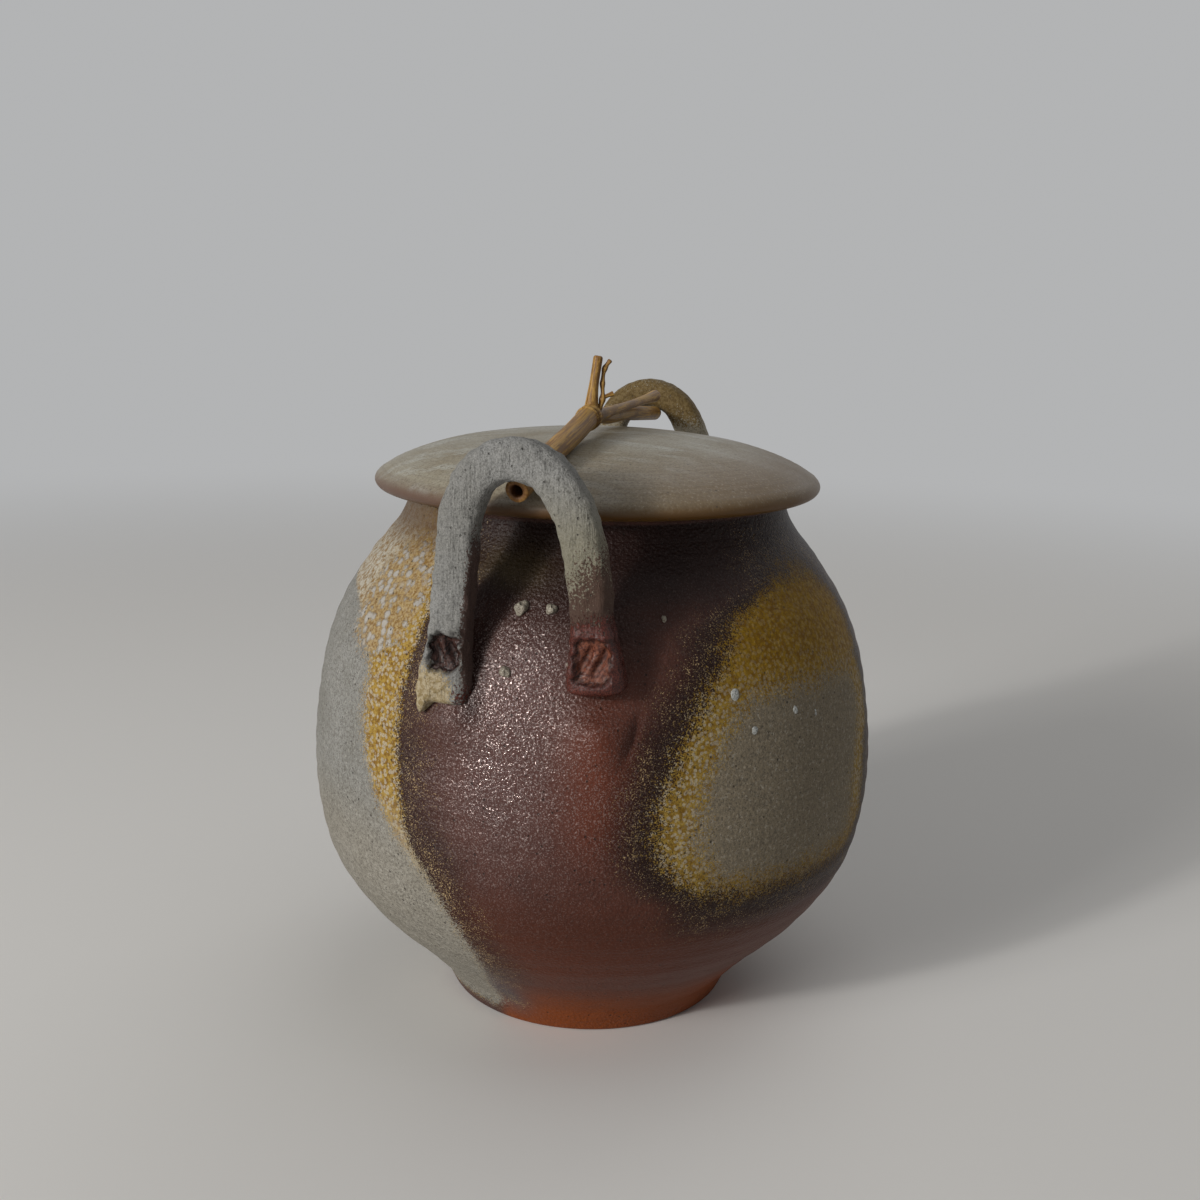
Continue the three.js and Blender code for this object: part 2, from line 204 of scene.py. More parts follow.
def turned_rings(profile, columns, grow):
    """Rings of a profile of (radius, height) turned about the Z axis. Turn 0 faces the front, and
    grow is added to each radius."""
    turn = np.linspace(-np.pi, np.pi, columns, endpoint=False)[None, :]
    radius = profile[:, :1] + grow
    return np.stack([radius * np.sin(turn), -radius * np.cos(turn),
                     np.broadcast_to(profile[:, 1:], radius.shape)], axis=-1)


def degrees_round(columns):
    """The turn of each column in degrees from the front, left of it below nought."""
    return np.linspace(-180, 180, columns, endpoint=False)[None, :]


# The profile runs from the middle of the foot out, up the wall, over the lip and down inside
foot_top_r = foot_r + foot_flare
lip_z = rim_z - lip_h
bore_z = rim_z - bore_h
wall_knots = [(foot_top_r + (belly_r - foot_top_r) * out, foot_h + (belly_z - foot_h) * up)
              for up, out in lower_wall]
wall_knots += [(belly_r + (neck_r - belly_r) * out, belly_z + (lip_z - belly_z) * up)
               for up, out in upper_wall]
jar_wall = curve_through(wall_knots, wall_rows)
ring_in = foot_r - foot_ring_w
underfoot = soft_corners([
    (axis_hole, foot_recess), (ring_in - edge_round, foot_recess), (ring_in, 0), (foot_r, 0),
    (foot_top_r, foot_h),
], edge_round, 5)
jar_lip = soft_corners([
    (neck_r, lip_z), (neck_r, rim_z), (mouth_r, rim_z), (mouth_r, bore_z),
], edge_round, 5)
heading = headings(jar_wall)
lining = jar_wall + wall_t * np.stack([-heading[:, 1], heading[:, 0]], axis=1)
above_floor = lining[:, 1] > floor_z + floor_ease
below_bore = lining[:, 1] < bore_z - bore_ease
lining = lining[above_floor & below_bore & (lining[:, 0] > mouth_r)]
floor_edge = [(lining[0, 0] - wall_t, floor_z)]
jar_inside = curve_through(np.vstack([lining[::-12], lining[:1], floor_edge]), 28)
jar_floor = np.linspace(jar_inside[-1], (axis_hole, floor_z), 6)[1:]
jar_profile = np.vstack([underfoot[:-1], jar_wall, jar_lip[1:], jar_inside, jar_floor])
on_wall = np.zeros((len(jar_profile), 1))
on_wall[len(underfoot) - 1:len(underfoot) - 1 + wall_rows] = 1
inside_rows = np.zeros((len(jar_profile), 1))
inside_rows[-len(jar_inside) - len(jar_floor) - 4:] = 1

# What stands out of the turned wall: arc is the length of a degree round the jar
turn = degrees_round(jar_columns)
height = jar_profile[:, 1:]
arc = np.radians(1) * jar_profile[:, :1]
from_lugs = 90 - np.abs(np.abs(turn) - 90)
below_lip = rise(lip_z, lip_z - lip_ease, height)
pad_turn = math.degrees(math.atan2(half_span + foot_splay, lug_y))
pads = bell((from_lugs - pad_turn) * arc / pad_half_w) * bell((height - pad_z) / pad_half_h)
throwing = np.sin(2 * np.pi * height / throwing_step + 1.4 * np.sin(np.radians(turn)))
shoulder_ridge = bell((height - ridge_z) / ridge_half_h) * rise(30, 70, np.abs(turn))
wobble = np.sin(np.radians(3 * turn) + height * 40)
smear = (bell((turn - smear_turn) * arc / smear_half_w) * rise(smear_z + 0.009, smear_z + 0.005, height)
         * rise(smear_z - smear_fall, smear_z, height))
crease_off = (turn - crease_turn - (height - crease_z) * crease_slant) * arc
crease = bell(crease_off / crease_half_w) * bell((height - crease_z) / crease_half_h)
from_wheel = throwing_depth * throwing + wobble_depth * wobble + ridge_swell * shoulder_ridge
jar_relief = on_wall * (pad_swell * pads + smear_swell * smear
                        + below_lip * (from_wheel - crease_depth * crease))

# Where the fire left its marks. The edges run round the jar by height, in degrees from the
# front; what is within each ash field is a distance in metres from its edge.
left_edge = steady(height, [0, 0.015, 0.032, 0.045, 0.060, 0.072, 0.085, 0.110, 0.132, 0.156],
                   [-22, -18, -12, -13, -17, -21.5, -23.5, -25, -25, -32])
left_far = -142 + 9 * np.sin(height * 70) + 4 * np.sin(height * 190 + 1)
left_band = steady(
    height, [0, 0.030, 0.060, 0.071, 0.085, 0.100, 0.112, 0.118, 0.1236, 0.1275, 0.132, 0.156],
    [-0.002, -0.002, 0.0, 0.004, 0.010, 0.0135, 0.0145, 0.017, 0.023, 0.036, 0.060, 0.080])
in_left = nearest(0.003, (left_edge - turn) * arc, (turn - left_far) * arc)
right_edge = steady(height, [0.057, 0.065, 0.073, 0.084, 0.098, 0.114, 0.121, 0.130, 0.139],
                    [36, 29, 26, 26, 29.5, 35.5, 39.5, 44.5, 61])
right_far = 84 + 3 * np.sin(height * 60 + 1) + 1.5 * np.sin(height * 210)
from_right = (turn - right_edge) * arc
to_far = (right_far - turn) * arc
in_right = nearest(0.004, from_right, to_far, height - 0.0585, 0.139 - height)
in_patch = nearest(0.004, from_right - 0.0125, to_far - 0.011, height - 0.0635, 0.111 - height)
behind = np.abs((turn + 30) % 360 - 180)
level_round = np.ones_like(turn)
level_up = np.ones_like(height)
jar_marks = {
    "ash": np.maximum(rise(-0.006, 0.008, in_left - left_band), rise(-0.013, 0.010, in_patch)),
    "ochre": np.maximum(rise(-0.005, 0.004, in_left), rise(-0.010, 0.010, in_right)),
    "shade": rise(0, 40, turn) * level_up,
    "tan": rise(-36, -56, turn) * rise(0.116, 0.130, height),
    "lip": rise(0.139, 0.150, height) * rise(-0.002, 0.006, in_left),
    "olive": bell((turn + 7) / 9) * bell((height - 0.1425) / 0.0055),
    "pale": rise(0.085, 0.060, height) * rise(0.01, -0.01, turn),
    "gold": rise(20, 50, turn) * np.maximum(rise(0.098, 0.126, height), 0.7 * rise(0.078, 0.062, height)),
    "grains": np.maximum.reduce([
        rise(-0.024, 0.002, in_left),
        rise(-0.024, 0.003, in_right),
        0.8 * rise(95, 140, np.abs(turn)) * rise(0.100, 0.142, height),
    ]),
    "dark": np.maximum.reduce([
        0.72 * rise(-0.022, -0.003, in_left),
        0.3 * bell((height - 0.050) / 0.012) * level_round,
        rise(-0.020, -0.004, in_right) * rise(0.030, 0.048, height),
        # The neck darkened towards the lid: partly dark clay, partly painted shade under the lid
        rise(0.118, 0.142, height) * level_round,
        # Painted shadow of the front lug's left leg on the wall
        0.75 * bell((turn + 9) / 2.4) * rise(0.100, 0.110, height),
    ]),
    "red": np.clip(bell((turn - 15) / 8.5) * bell((height - 0.092) / 0.023)
                   + bell(behind / 26) * bell((height - 0.080) / 0.035), 0, 1),
    "back": rise(78, 100, np.abs(turn)) * level_up,
    # The glossy front, whose colour carries a painted sheen and painted glints
    "frost_and_sheen": np.clip(bell((turn + 2) / 12.5) * bell((height - 0.095) / 0.027)
                     + 0.7 * bell((turn - 2) / 9) * bell((height - 0.121) / 0.012)
                     + 0.6 * bell((turn - 112) / 14) * bell((height - 0.100) / 0.022), 0, 1),
    "low": rise(0.070, 0.040, height) * level_round,
    "flash": bell((turn + 13) / 8) * bell((height - 0.014) / 0.010),
    "blister": np.clip(1.3 * bell((turn + 38) / 11) * bell((height - 0.131) / 0.015), 0, 1),
}
jar_marks = {name: values * on_wall for name, values in jar_marks.items()}
jar_marks["foot"] = rise(0.026, 0.008, height) * rise(0.001, -0.004, in_left)
jar_marks["inside"] = inside_rows * level_round
jar = skin("fired_jar", turned_rings(jar_profile, jar_columns, jar_relief), jar_marks)


def fill(tree, made, sockets):
    """Fills a shader node's sockets with links, colours or plain values."""
    for socket, value in sockets.items():
        if isinstance(value, bpy.types.NodeSocket):
            tree.links.new(value, made.inputs[socket])
        elif made.inputs[socket].type == "RGBA":
            made.inputs[socket].default_value = (*value, 1)
        else:
            made.inputs[socket].default_value = value


def node(tree, kind, sockets=None, **settings):
    """Adds a shader node with its options, and fills its sockets."""
    made = tree.nodes.new("ShaderNode" + kind)
    for option, value in settings.items():
        setattr(made, option, value)
    fill(tree, made, sockets or {})
    return made


def calc(tree, how, a, b):
    """Two values put together by the operation that how names."""
    return node(tree, "Math", {0: a, 1: b}, operation=how).outputs[0]


def times(tree, a, b):
    """The product of two values."""
    return calc(tree, "MULTIPLY", a, b)


def plus(tree, a, b):
    """The sum of two values."""
    return calc(tree, "ADD", a, b)


def level(tree, share, a, b):
    """The value a passing to b by a share."""
    return node(tree, "Mix", {0: share, 2: a, 3: b}).outputs[0]


def ramp(tree, value, low, high):
    """0 below low, 1 above high, with a smooth S between; low above high makes it a fall."""
    sockets = {"Value": value, "From Min": low, "From Max": high}
    return node(tree, "MapRange", sockets, interpolation_type="SMOOTHSTEP").outputs[0]


def lay(tree, share, under, over, most=None):
    """The colour over, laid on the colour under by a share, which is taken times most if given."""
    share = share if most is None else times(tree, share, most)
    return node(tree, "Mix", {0: share, 6: under, 7: over}, data_type="RGBA").outputs[2]


def fade(tree, value, low, high, under, over, most=None):
    """The colour under passing to the colour over as a value goes from low to high."""
    return lay(tree, ramp(tree, value, low, high), under, over, most)


def noise(tree, coords, scale, detail, rough):
    """Smooth chance over space: scale in patches per metre, with finer octaves of it added."""
    sockets = {"Vector": coords, "Scale": scale, "Detail": detail, "Roughness": rough}
    return node(tree, "TexNoise", sockets).outputs[0]


def stretched(tree, coords, *scale):
    """Coordinates taken times a scale on each axis, so that a pattern is drawn out along the least."""
    return node(tree, "Mapping", {"Vector": coords, "Scale": scale}).outputs[0]


def cell_net(tree, coords, scale):
    """A net of scattered cells: the distance from a cell's middle, and a chance that is its own."""
    cells = node(tree, "TexVoronoi", {"Vector": coords, "Scale": scale}).outputs
    return cells["Distance"], node(tree, "SeparateColor", {0: cells["Color"]}).outputs[0]


def mark(tree, name):
    """A mark kept at the points of the mesh."""
    return node(tree, "Attribute", attribute_name=name).outputs["Fac"]


def bump(tree, height, distance, strength, under=None):
    """The direction that a surface faces where a height stands out of it; under is a relief that
    it lies on."""
    sockets = {"Height": height, "Distance": distance, "Strength": strength}
    if under is not None:
        sockets["Normal"] = under
    return node(tree, "Bump", sockets).outputs[0]


def new_group(name, inputs, outputs):
    """An empty shader group with number sockets; gives the group, its inputs and its outputs."""
    group = bpy.data.node_groups.new(name, "ShaderNodeTree")
    for socket, value in inputs.items():
        made = group.interface.new_socket(socket, in_out="INPUT", socket_type="NodeSocketFloat")
        made.default_value = value
    for socket in outputs:
        group.interface.new_socket(socket, in_out="OUTPUT", socket_type="NodeSocketFloat")
    return group, group.nodes.new("NodeGroupInput").outputs, group.nodes.new("NodeGroupOutput").inputs


def new_finish(name):
    """A new material; gives it, its node tree and its main shader."""
    finish = bpy.data.materials.new(name)
    finish.use_nodes = True
    return finish, finish.node_tree, finish.node_tree.nodes["Principled BSDF"]


# Sand and feldspar in the clay: a fine grain, pale grains, sparse dark pits and a slow drift
kiln_grain, given, put = new_group("kiln_grain", {"Scale": 2300.0}, ["Grain", "Specks", "Pits", "Drift"])
tree = kiln_grain
place = node(tree, "TexCoord").outputs["Object"]
aside = node(tree, "Mapping", {"Vector": place, "Location": (0.7, 0.3, 0.5)}).outputs[0]
specks = noise(tree, aside, times(tree, given["Scale"], 0.6), 3, 0.75)
from_middle, chance = cell_net(tree, place, times(tree, given["Scale"], 0.36))
for socket, value in {
    "Grain": noise(tree, place, given["Scale"], 2, 0.6),
    "Specks": ramp(tree, specks, 0.53, 0.63),
    "Pits": times(tree, ramp(tree, from_middle, 0.32, 0.16), ramp(tree, chance, 0.91, 0.98)),
    "Drift": noise(tree, place, times(tree, given["Scale"], 0.024), 4, 0.6),
}.items():
    tree.links.new(value, put[socket])

# The strewn edge of an ash field: grains of it show before the cover closes
ash_edge, given, put = new_group("ash_edge", {"Cover": 0.5, "Scatter": 1.6, "Scale": 2200.0}, ["Mask"])
tree = ash_edge
place = node(tree, "TexCoord").outputs["Object"]
fine = calc(tree, "SUBTRACT", noise(tree, place, given["Scale"], 3, 0.7), 0.5)
broad = noise(tree, place, times(tree, given["Scale"], 0.07), 4, 0.65)
broad = calc(tree, "SUBTRACT", broad, 0.5)
strewn = times(tree, plus(tree, fine, times(tree, broad, 0.25)), given["Scatter"])
strewn = ramp(tree, plus(tree, given["Cover"], strewn), 0.45, 0.55)
tree.links.new(times(tree, strewn, ramp(tree, given["Cover"], 0.0, 0.16)), put["Mask"])


def strewn_cover(tree, cover, scatter, scale):
    """A cover with a strewn edge: scatter spreads its grains, and scale sets how small they are."""
    sockets = {"Cover": cover, "Scatter": scatter, "Scale": scale}
    return node(tree, "Group", sockets, node_tree=ash_edge).outputs["Mask"]


def spots(tree, coords, scale, ragged, wide, share):
    """Round spots of uneven outline in a share of the cells of a scattered net."""
    from_middle, chance = cell_net(tree, coords, scale)
    uneven = times(tree, calc(tree, "SUBTRACT", ragged, 0.5), 0.9)
    inside = ramp(tree, plus(tree, from_middle, uneven), wide, 0.55 * wide)
    return times(tree, inside, ramp(tree, chance, share + 0.05, share - 0.05))


jar_finish, tree, shader = new_finish("wood_fired_clay")
place = node(tree, "TexCoord").outputs["Object"]
upright = node(tree, "CombineXYZ", {2: node(tree, "SeparateXYZ", {0: place}).outputs[2]}).outputs[0]
kiln = node(tree, "Group", node_tree=kiln_grain).outputs
grain, drift = kiln["Grain"], kiln["Drift"]
ash_cover = strewn_cover(tree, mark(tree, "ash"), 2.2, 2100)
ochre_cover = strewn_cover(tree, mark(tree, "ochre"), 2.8, 2500)
blotches = noise(tree, place, 620, 4, 0.7)
mottle = noise(tree, place, 1000, 3, 0.7)
ragged = noise(tree, place, 1100, 4, 0.7)
peel = noise(tree, place, 1150, 2, 0.5)
clouds = noise(tree, place, 42, 3, 0.55)
wheel = noise(tree, upright, 800, 3, 0.7)

# Bare clay, red to nearly black, with a rime of fine pale crystals on its glossy front; there a painted
# sheen and painted glints lighten it
frost_and_sheen, red = mark(tree, "frost_and_sheen"), mark(tree, "red")
clay = fade(tree, drift, 0.35, 0.65, (0.080, 0.030, 0.021), (0.050, 0.022, 0.017))
clay = lay(tree, mark(tree, "low"), clay, (0.090, 0.023, 0.010))
clay = lay(tree, red, clay, (0.125, 0.030, 0.014), ramp(tree, drift, 0.15, 0.55))
# Painted sheen: a mauve-grey veil over the glossy front
clay = lay(tree, frost_and_sheen, clay, (0.098, 0.052, 0.047), 0.8)
# Nearly black: dark clay, with painted shade on the neck under the lid and a painted shadow beside the
# front lug's left leg
clay = lay(tree, mark(tree, "dark"), clay, (0.011, 0.0038, 0.0028), 0.92)
clay = lay(tree, mark(tree, "olive"), clay, (0.075, 0.052, 0.025), ramp(tree, drift, 0.3, 0.6))
clay = lay(tree, mark(tree, "foot"), clay, (0.20, 0.048, 0.009))
clay = lay(tree, mark(tree, "flash"), clay, (0.075, 0.060, 0.064))
cloudy = times(tree, mark(tree, "back"), ramp(tree, clouds, 0.42, 0.60))
clay = lay(tree, cloudy, clay, (0.030, 0.014, 0.011), 0.7)
# Pale specks, partly a real rime of crystals and partly painted glints, thickest on the glossy front and
# thin on the red
pale = plus(tree, times(tree, frost_and_sheen, 0.55), times(tree, red, 0.10))
rime_and_glints = ramp(tree, noise(tree, place, 2300, 3, 0.75), 0.54, 0.61)
clay = lay(tree, rime_and_glints, clay, (0.60, 0.50, 0.47), plus(tree, pale, 0.05))
strewn = strewn_cover(tree, times(tree, mark(tree, "grains"), 0.31), 2.5, 2500)
clay = lay(tree, strewn, clay, (0.42, 0.30, 0.155), 0.95)

# Ochre where the ash melted thin, tan towards the neck, duller and gilded on the right
dots = spots(tree, place, 900, mottle, 0.60, 0.85)
ochre = fade(tree, blotches, 0.40, 0.56, (0.19, 0.096, 0.012), (0.345, 0.222, 0.045))
ochre = lay(tree, dots, ochre, (0.46, 0.435, 0.375), 0.55)
tan = fade(tree, blotches, 0.38, 0.56, (0.245, 0.155, 0.060), (0.46, 0.435, 0.375))
ochre = lay(tree, mark(tree, "tan"), ochre, tan, 0.85)
dusk = fade(tree, blotches, 0.38, 0.60, (0.18, 0.098, 0.009), (0.285, 0.19, 0.038))
dusk = lay(tree, dots, dusk, (0.40, 0.375, 0.31), 0.55)
ochre = lay(tree, mark(tree, "shade"), ochre, dusk)
gilt = fade(tree, blotches, 0.4, 0.6, (0.15, 0.072, 0.002), (0.23, 0.130, 0.005))
gilt = lay(tree, dots, gilt, (0.40, 0.34, 0.20), 0.18)
ochre = lay(tree, mark(tree, "gold"), ochre, gilt)
ochre = fade(tree, grain, 0.47, 0.36, ochre, (0.10, 0.055, 0.018), 0.45)
ochre = lay(tree, mark(tree, "pale"), ochre, (0.335, 0.287, 0.205), 0.8)

# Dry ash over it, mottled and grained, with the rings of the wheel
ash = fade(tree, drift, 0.3, 0.7, (0.262, 0.258, 0.24), (0.21, 0.205, 0.185))
ash = lay(tree, mark(tree, "pale"), ash, (0.285, 0.25, 0.19), 0.5)
ash = lay(tree, mark(tree, "shade"), ash, (0.205, 0.168, 0.116))
ash = fade(tree, mottle, 0.50, 0.36, ash, (0.115, 0.102, 0.082), 0.55)
ash = fade(tree, mottle, 0.54, 0.68, ash, (0.44, 0.42, 0.37), 0.40)
ash = fade(tree, grain, 0.46, 0.34, ash, (0.075, 0.066, 0.053), 0.8)
ash = fade(tree, wheel, 0.48, 0.66, ash, (0.11, 0.098, 0.078), 0.22)
glaze = lay(tree, ash_cover, lay(tree, ochre_cover, clay, ochre), ash)

# A crust that crawled into islands on the left shoulder, then the lip, the pits and the inside
crawled = strewn_cover(tree, mark(tree, "blister"), 1.2, 900)
islands = times(tree, spots(tree, place, 400, ragged, 0.64, 0.68), crawled)
crust = fade(tree, ragged, 0.38, 0.6, (0.19, 0.10, 0.026), (0.39, 0.29, 0.15))
glaze = lay(tree, crawled, glaze, crust, 0.8)
glaze = lay(tree, islands, glaze, (0.41, 0.40, 0.38), 0.78)
glaze = lay(tree, mark(tree, "lip"), glaze, (0.095, 0.06, 0.037), 0.85)
glaze = lay(tree, kiln["Pits"], glaze, (0.028, 0.022, 0.019), 0.75)
raw = fade(tree, grain, 0.4, 0.6, (0.16, 0.085, 0.055), (0.12, 0.062, 0.042))
glaze = lay(tree, mark(tree, "inside"), glaze, raw)
lustre = times(tree, times(tree, rime_and_glints, frost_and_sheen), 0.7)
lustre = level(tree, calc(tree, "MAXIMUM", ochre_cover, ash_cover), lustre, 0.0)
wet = level(tree, calc(tree, "MAXIMUM", frost_and_sheen, red), 0.42, 0.12)
dry = level(tree, ash_cover, level(tree, ochre_cover, wet, 0.6), 0.75)
dry = level(tree, mark(tree, "foot"), dry, 0.55)
undulation = bump(tree, noise(tree, place, 170, 3, 0.55), 0.0006, 0.45)
smooth = calc(tree, "MAXIMUM", mark(tree, "low"), ochre_cover)
lumps = times(tree, peel, level(tree, smooth, 1.4, 0.7))
lumps = plus(tree, lumps, times(tree, islands, 0.8))
lumps = plus(tree, lumps, times(tree, wheel, 0.5))
lumps = calc(tree, "SUBTRACT", lumps, kiln["Pits"])
fill(tree, shader, {
    "Base Color": glaze,
    "Metallic": lustre,
    "Roughness": level(tree, mark(tree, "inside"), dry, 0.7),
    "Specular IOR Level": 0.14,
    "Normal": bump(tree, lumps, 0.00035, 0.9, undulation),
})
jar.data.materials.append(jar_finish)
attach(jar, "jar")
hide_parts("jar_body")


# Lugs. Two straps of clay, each pulled, bent into an arch and pressed on to the shoulder at
# both feet with the end of a stick. The front one is dry grey ash running to red at its right
# foot; the rear one stands higher and is smoother and more olive.
lug_d = 0.0096
lug_w = 0.0106
lug_square = 2.5
leg_square = 0.9
arch_drop = 0.027
foot_spread = 0.0022
foot_thicken = 0.0005
foot_reach = 0.020
lug_foot_z = pad_z + 0.004
end_round = 0.0022
nick_w = 0.0026
nick_l = 0.0092
nick_depth = 0.0015
nick_apart = 0.0040
nick_up = 0.0095
nick_lean = 0.42
press_w = 0.0049
press_h = 0.0060
press_depth = 0.0014
press_rim = 0.0005
press_ragged = 0.00035
left_press = 0.86
left_press_in = 0.0006
spur_out = 0.0056
spur_half_w = 0.0015
tear_size = 0.0060
tear_depth = 0.0033
lug_rows = 240
lug_sides = 80


def torn(rings, size, depth, seed):
    """Rings with a rough skin: each point moves away from its ring's middle by a sum of plane waves
    of about the given size, in seeded directions, as clay tears when it is pulled."""
    draw = np.random.default_rng(seed)
    waves = draw.normal(0, 2 * np.pi / size, (3, 26))
    swell = np.sin(rings @ waves + draw.uniform(0, 2 * np.pi, 26)).sum(axis=-1, keepdims=True)
    out = rings - rings.mean(axis=1, keepdims=True)
    return rings + depth * swell * out / np.maximum(np.linalg.norm(out, axis=-1, keepdims=True), 0.001)


def rounded_end(from_end, least):
    """How full a rod is near its end, which is a quarter circle: from_end is in shares of its radius."""
    return np.sqrt(np.clip(1 - (1 - np.clip(from_end, least, 1)) ** 2, 0, 1))


def lug_rings(arch_z, top_w, aside, step, wander, spur):
    """A strap's rings, their x and z, and three marks on them. Its middle line runs from the left
    foot over the top to the right foot, which ends a step higher, the arch leaning aside; round it
    goes a superellipse that widens at the feet, shrinks to nothing at the ends and wanders by a few
    slow waves. Each foot has a recess with a squared outline and two slanting nicks in it, and the
    left foot's outer corner runs down in a spur. The marks are what is pressed in, a painted shade
    along the walls of the recess and in the nicks, and the side that faces inwards."""
    spring = arch_z - arch_drop
    left, right = (np.array([
        (half_span + foot_splay, foot_z), (half_span + 0.55 * foot_splay, (foot_z + spring) / 2),
        (half_span, spring), (0.87 * half_span, spring + 0.48 * arch_drop),
        (0.5 * half_span, spring + 0.88 * arch_drop),
    ]) for foot_z in (lug_foot_z, lug_foot_z + step))
    knots = np.vstack([left * (-1, 1), [(0, arch_z)], right[::-1]])
    knots[:, 0] -= aside * np.clip((knots[:, 1] - spring) / arch_drop, 0, 1)
    line = curve_through(knots, lug_rows)
    heading = headings(line)
    share = np.linspace(0, 1, lug_rows)[:, None]
    cap = rounded_end(lengths(line)[-1] * np.minimum(share, 1 - share) / end_round, 0.02)
    foot_z = lug_foot_z + step * (line[:, :1] > 0)
    to_foot = rise(0, 0.9 * foot_reach, foot_z + foot_reach - line[:, 1:])
    angle = np.linspace(0, 2 * np.pi, lug_sides, endpoint=False)[None, :]
    power = lug_square + leg_square * (1 - bell((share - 0.5) / 0.13))
    square = (np.abs(np.cos(angle)) ** power + np.abs(np.sin(angle)) ** power) ** (-1 / power)
    slow, quick = np.sin(9 * share * np.pi + 2 * angle), np.sin(23 * share * np.pi - 3 * angle)
    around = cap * square * (1 + wander * (slow + 0.7 * quick))
    half_w = (lug_w + (top_w - lug_w) * bell((share - 0.5) / 0.1)) / 2 + foot_spread * to_foot
    across = half_w * around * np.cos(angle)
    deep = (lug_d / 2 + foot_thicken * to_foot) * around * np.sin(angle)
    x = line[:, :1] + heading[:, 1:] * across
    z = line[:, 1:] - heading[:, :1] * across
    at_spur = bell((x + half_span + foot_splay + spur_out) / spur_half_w)
    z = z - spur * at_spur * rise(lug_foot_z + 0.006, lug_foot_z + 0.001, z)
    nicks, recess, rim, outline = (np.zeros_like(x) for _ in range(4))
    facing = rise(0.1, -0.3, np.sin(angle))
    for side, size, up, inward in [(-1, left_press, 0.9, left_press_in), (1, 1, 1, 0)]:
        off_x = x - side * (half_span + 0.8 * foot_splay) - inward
        off_z = z - (lug_foot_z + nick_up + step * up)
        ragged = press_ragged * (np.sin(2100 * z + 3 * side) + np.sin(1500 * x + 1300 * z))
        edge = (np.abs((off_x + ragged) / (size * press_w)) ** 4
                + np.abs((off_z + ragged) / (size * press_h)) ** 4) ** 0.25
        recess = np.maximum(recess, rise(1.05, 0.80, edge) * facing)
        rim = np.maximum(rim, bell((edge - 1.12) / 0.12) * facing)
        outline = np.maximum(outline, bell((edge - 0.93) / 0.10) * facing)
        lean = side * nick_lean
        for hand in (-1, 1):
            nick_x = off_x - hand * nick_apart / 2
            along = off_z * math.cos(lean) + nick_x * math.sin(lean)
            beside = nick_x * math.cos(lean) - off_z * math.sin(lean)
            pressed = np.clip(1 - (2 * along / nick_l) ** 2 - (2 * beside / nick_w) ** 2, 0, 1)
            nicks = np.maximum(nicks, np.sqrt(pressed) * facing)
    deep = deep + nick_depth * nicks + press_depth * recess - press_rim * rim
    rings = torn(np.stack([x, deep, z], axis=-1), tear_size, tear_depth * wander, 5)
    # Painted shade along the inner walls of each recess and in the nicks
    recess_shades = np.maximum(0.9 * outline, 0.3 * rise(0.55, 0.95, nicks))
    inner = rise(0.45, 0.9, np.cos(angle)) * np.ones_like(x)
    return rings, x, z, np.maximum(nicks, recess), recess_shades, inner


def shaded(colour, red, green, blue):
    """A colour with a share of its red, its green and its blue."""
    return colour[0] * red, colour[1] * green, colour[2] * blue


def lug_finish(name, dry, dark, ochre, red, rough, relief):
    """Dry ash clay: grained and pitted, with red clay and ochre showing by the marks fire, ochre and
    nick, in speckled edges."""
    finish, tree, shader = new_finish(name)
    place = node(tree, "TexCoord").outputs["Object"]
    kiln = node(tree, "Group", {"Scale": 2300}, node_tree=kiln_grain).outputs
    scored = noise(tree, stretched(tree, place, 1, 1, 0.12), 1000, 3, 0.7)
    mottle = noise(tree, place, 1000, 4, 0.7)
    colour = fade(tree, kiln["Drift"], 0.3, 0.7, dry, dark)
    colour = fade(tree, kiln["Grain"], 0.5, 0.36, colour, shaded(dark, 0.5, 0.5, 0.5), 0.6)
    colour = fade(tree, mottle, 0.48, 0.34, colour, shaded(dark, 0.42, 0.42, 0.42), 0.6)
    colour = lay(tree, kiln["Specks"], colour, (0.46, 0.45, 0.42), 0.22)
    tint = fade(tree, mottle, 0.42, 0.58, ochre, shaded(ochre, 0.62, 0.56, 0.40))
    colour = lay(tree, strewn_cover(tree, mark(tree, "ochre"), 1.6, 1700), colour, tint)
    colour = lay(tree, mark(tree, "olive"), colour, shaded(ochre, 0.47, 0.50, 0.42))
    # Soot-dark clay where the fire scorched it, and painted shade on the inner side of the front lug's left
    # leg
    soot_and_shade = strewn_cover(tree, mark(tree, "scorch_and_shade"), 2.2, 1500)
    colour = lay(tree, soot_and_shade, colour, (0.060, 0.026, 0.018), 0.9)
    fire = strewn_cover(tree, mark(tree, "fire"), 1.8, 1500)
    colour = lay(tree, fire, colour, fade(tree, kiln["Grain"], 0.42, 0.6, red, shaded(red, 0.4, 0.4, 0.4)))
    gouge = fade(tree, mottle, 0.4, 0.6, (0.014, 0.007, 0.006), (0.060, 0.026, 0.020))
    glow = fade(tree, mottle, 0.4, 0.6, (0.060, 0.016, 0.010), (0.190, 0.062, 0.034))
    gouge = lay(tree, mark(tree, "fire"), gouge, glow)
    colour = lay(tree, strewn_cover(tree, mark(tree, "nick"), 1.5, 900), colour, gouge)
    # Painted shade along the recess walls and in the nicks
    colour = lay(tree, mark(tree, "recess_shade"), colour, (0.010, 0.005, 0.004), 0.85)
    colour = lay(tree, kiln["Pits"], colour, (0.06, 0.055, 0.045), 0.6)
    melted = calc(tree, "MAXIMUM", fire, mark(tree, "nick"))
    height = plus(tree, mottle, times(tree, scored, 0.9))
    height = calc(tree, "SUBTRACT", height, kiln["Pits"])
    height = times(tree, height, level(tree, melted, 1.0, 0.45))
    fill(tree, shader, {
        "Base Color": colour,
        "Roughness": level(tree, melted, rough, 0.16),
        "Specular IOR Level": 0.3,
        "Normal": bump(tree, height, relief, 0.9),
    })
    return finish


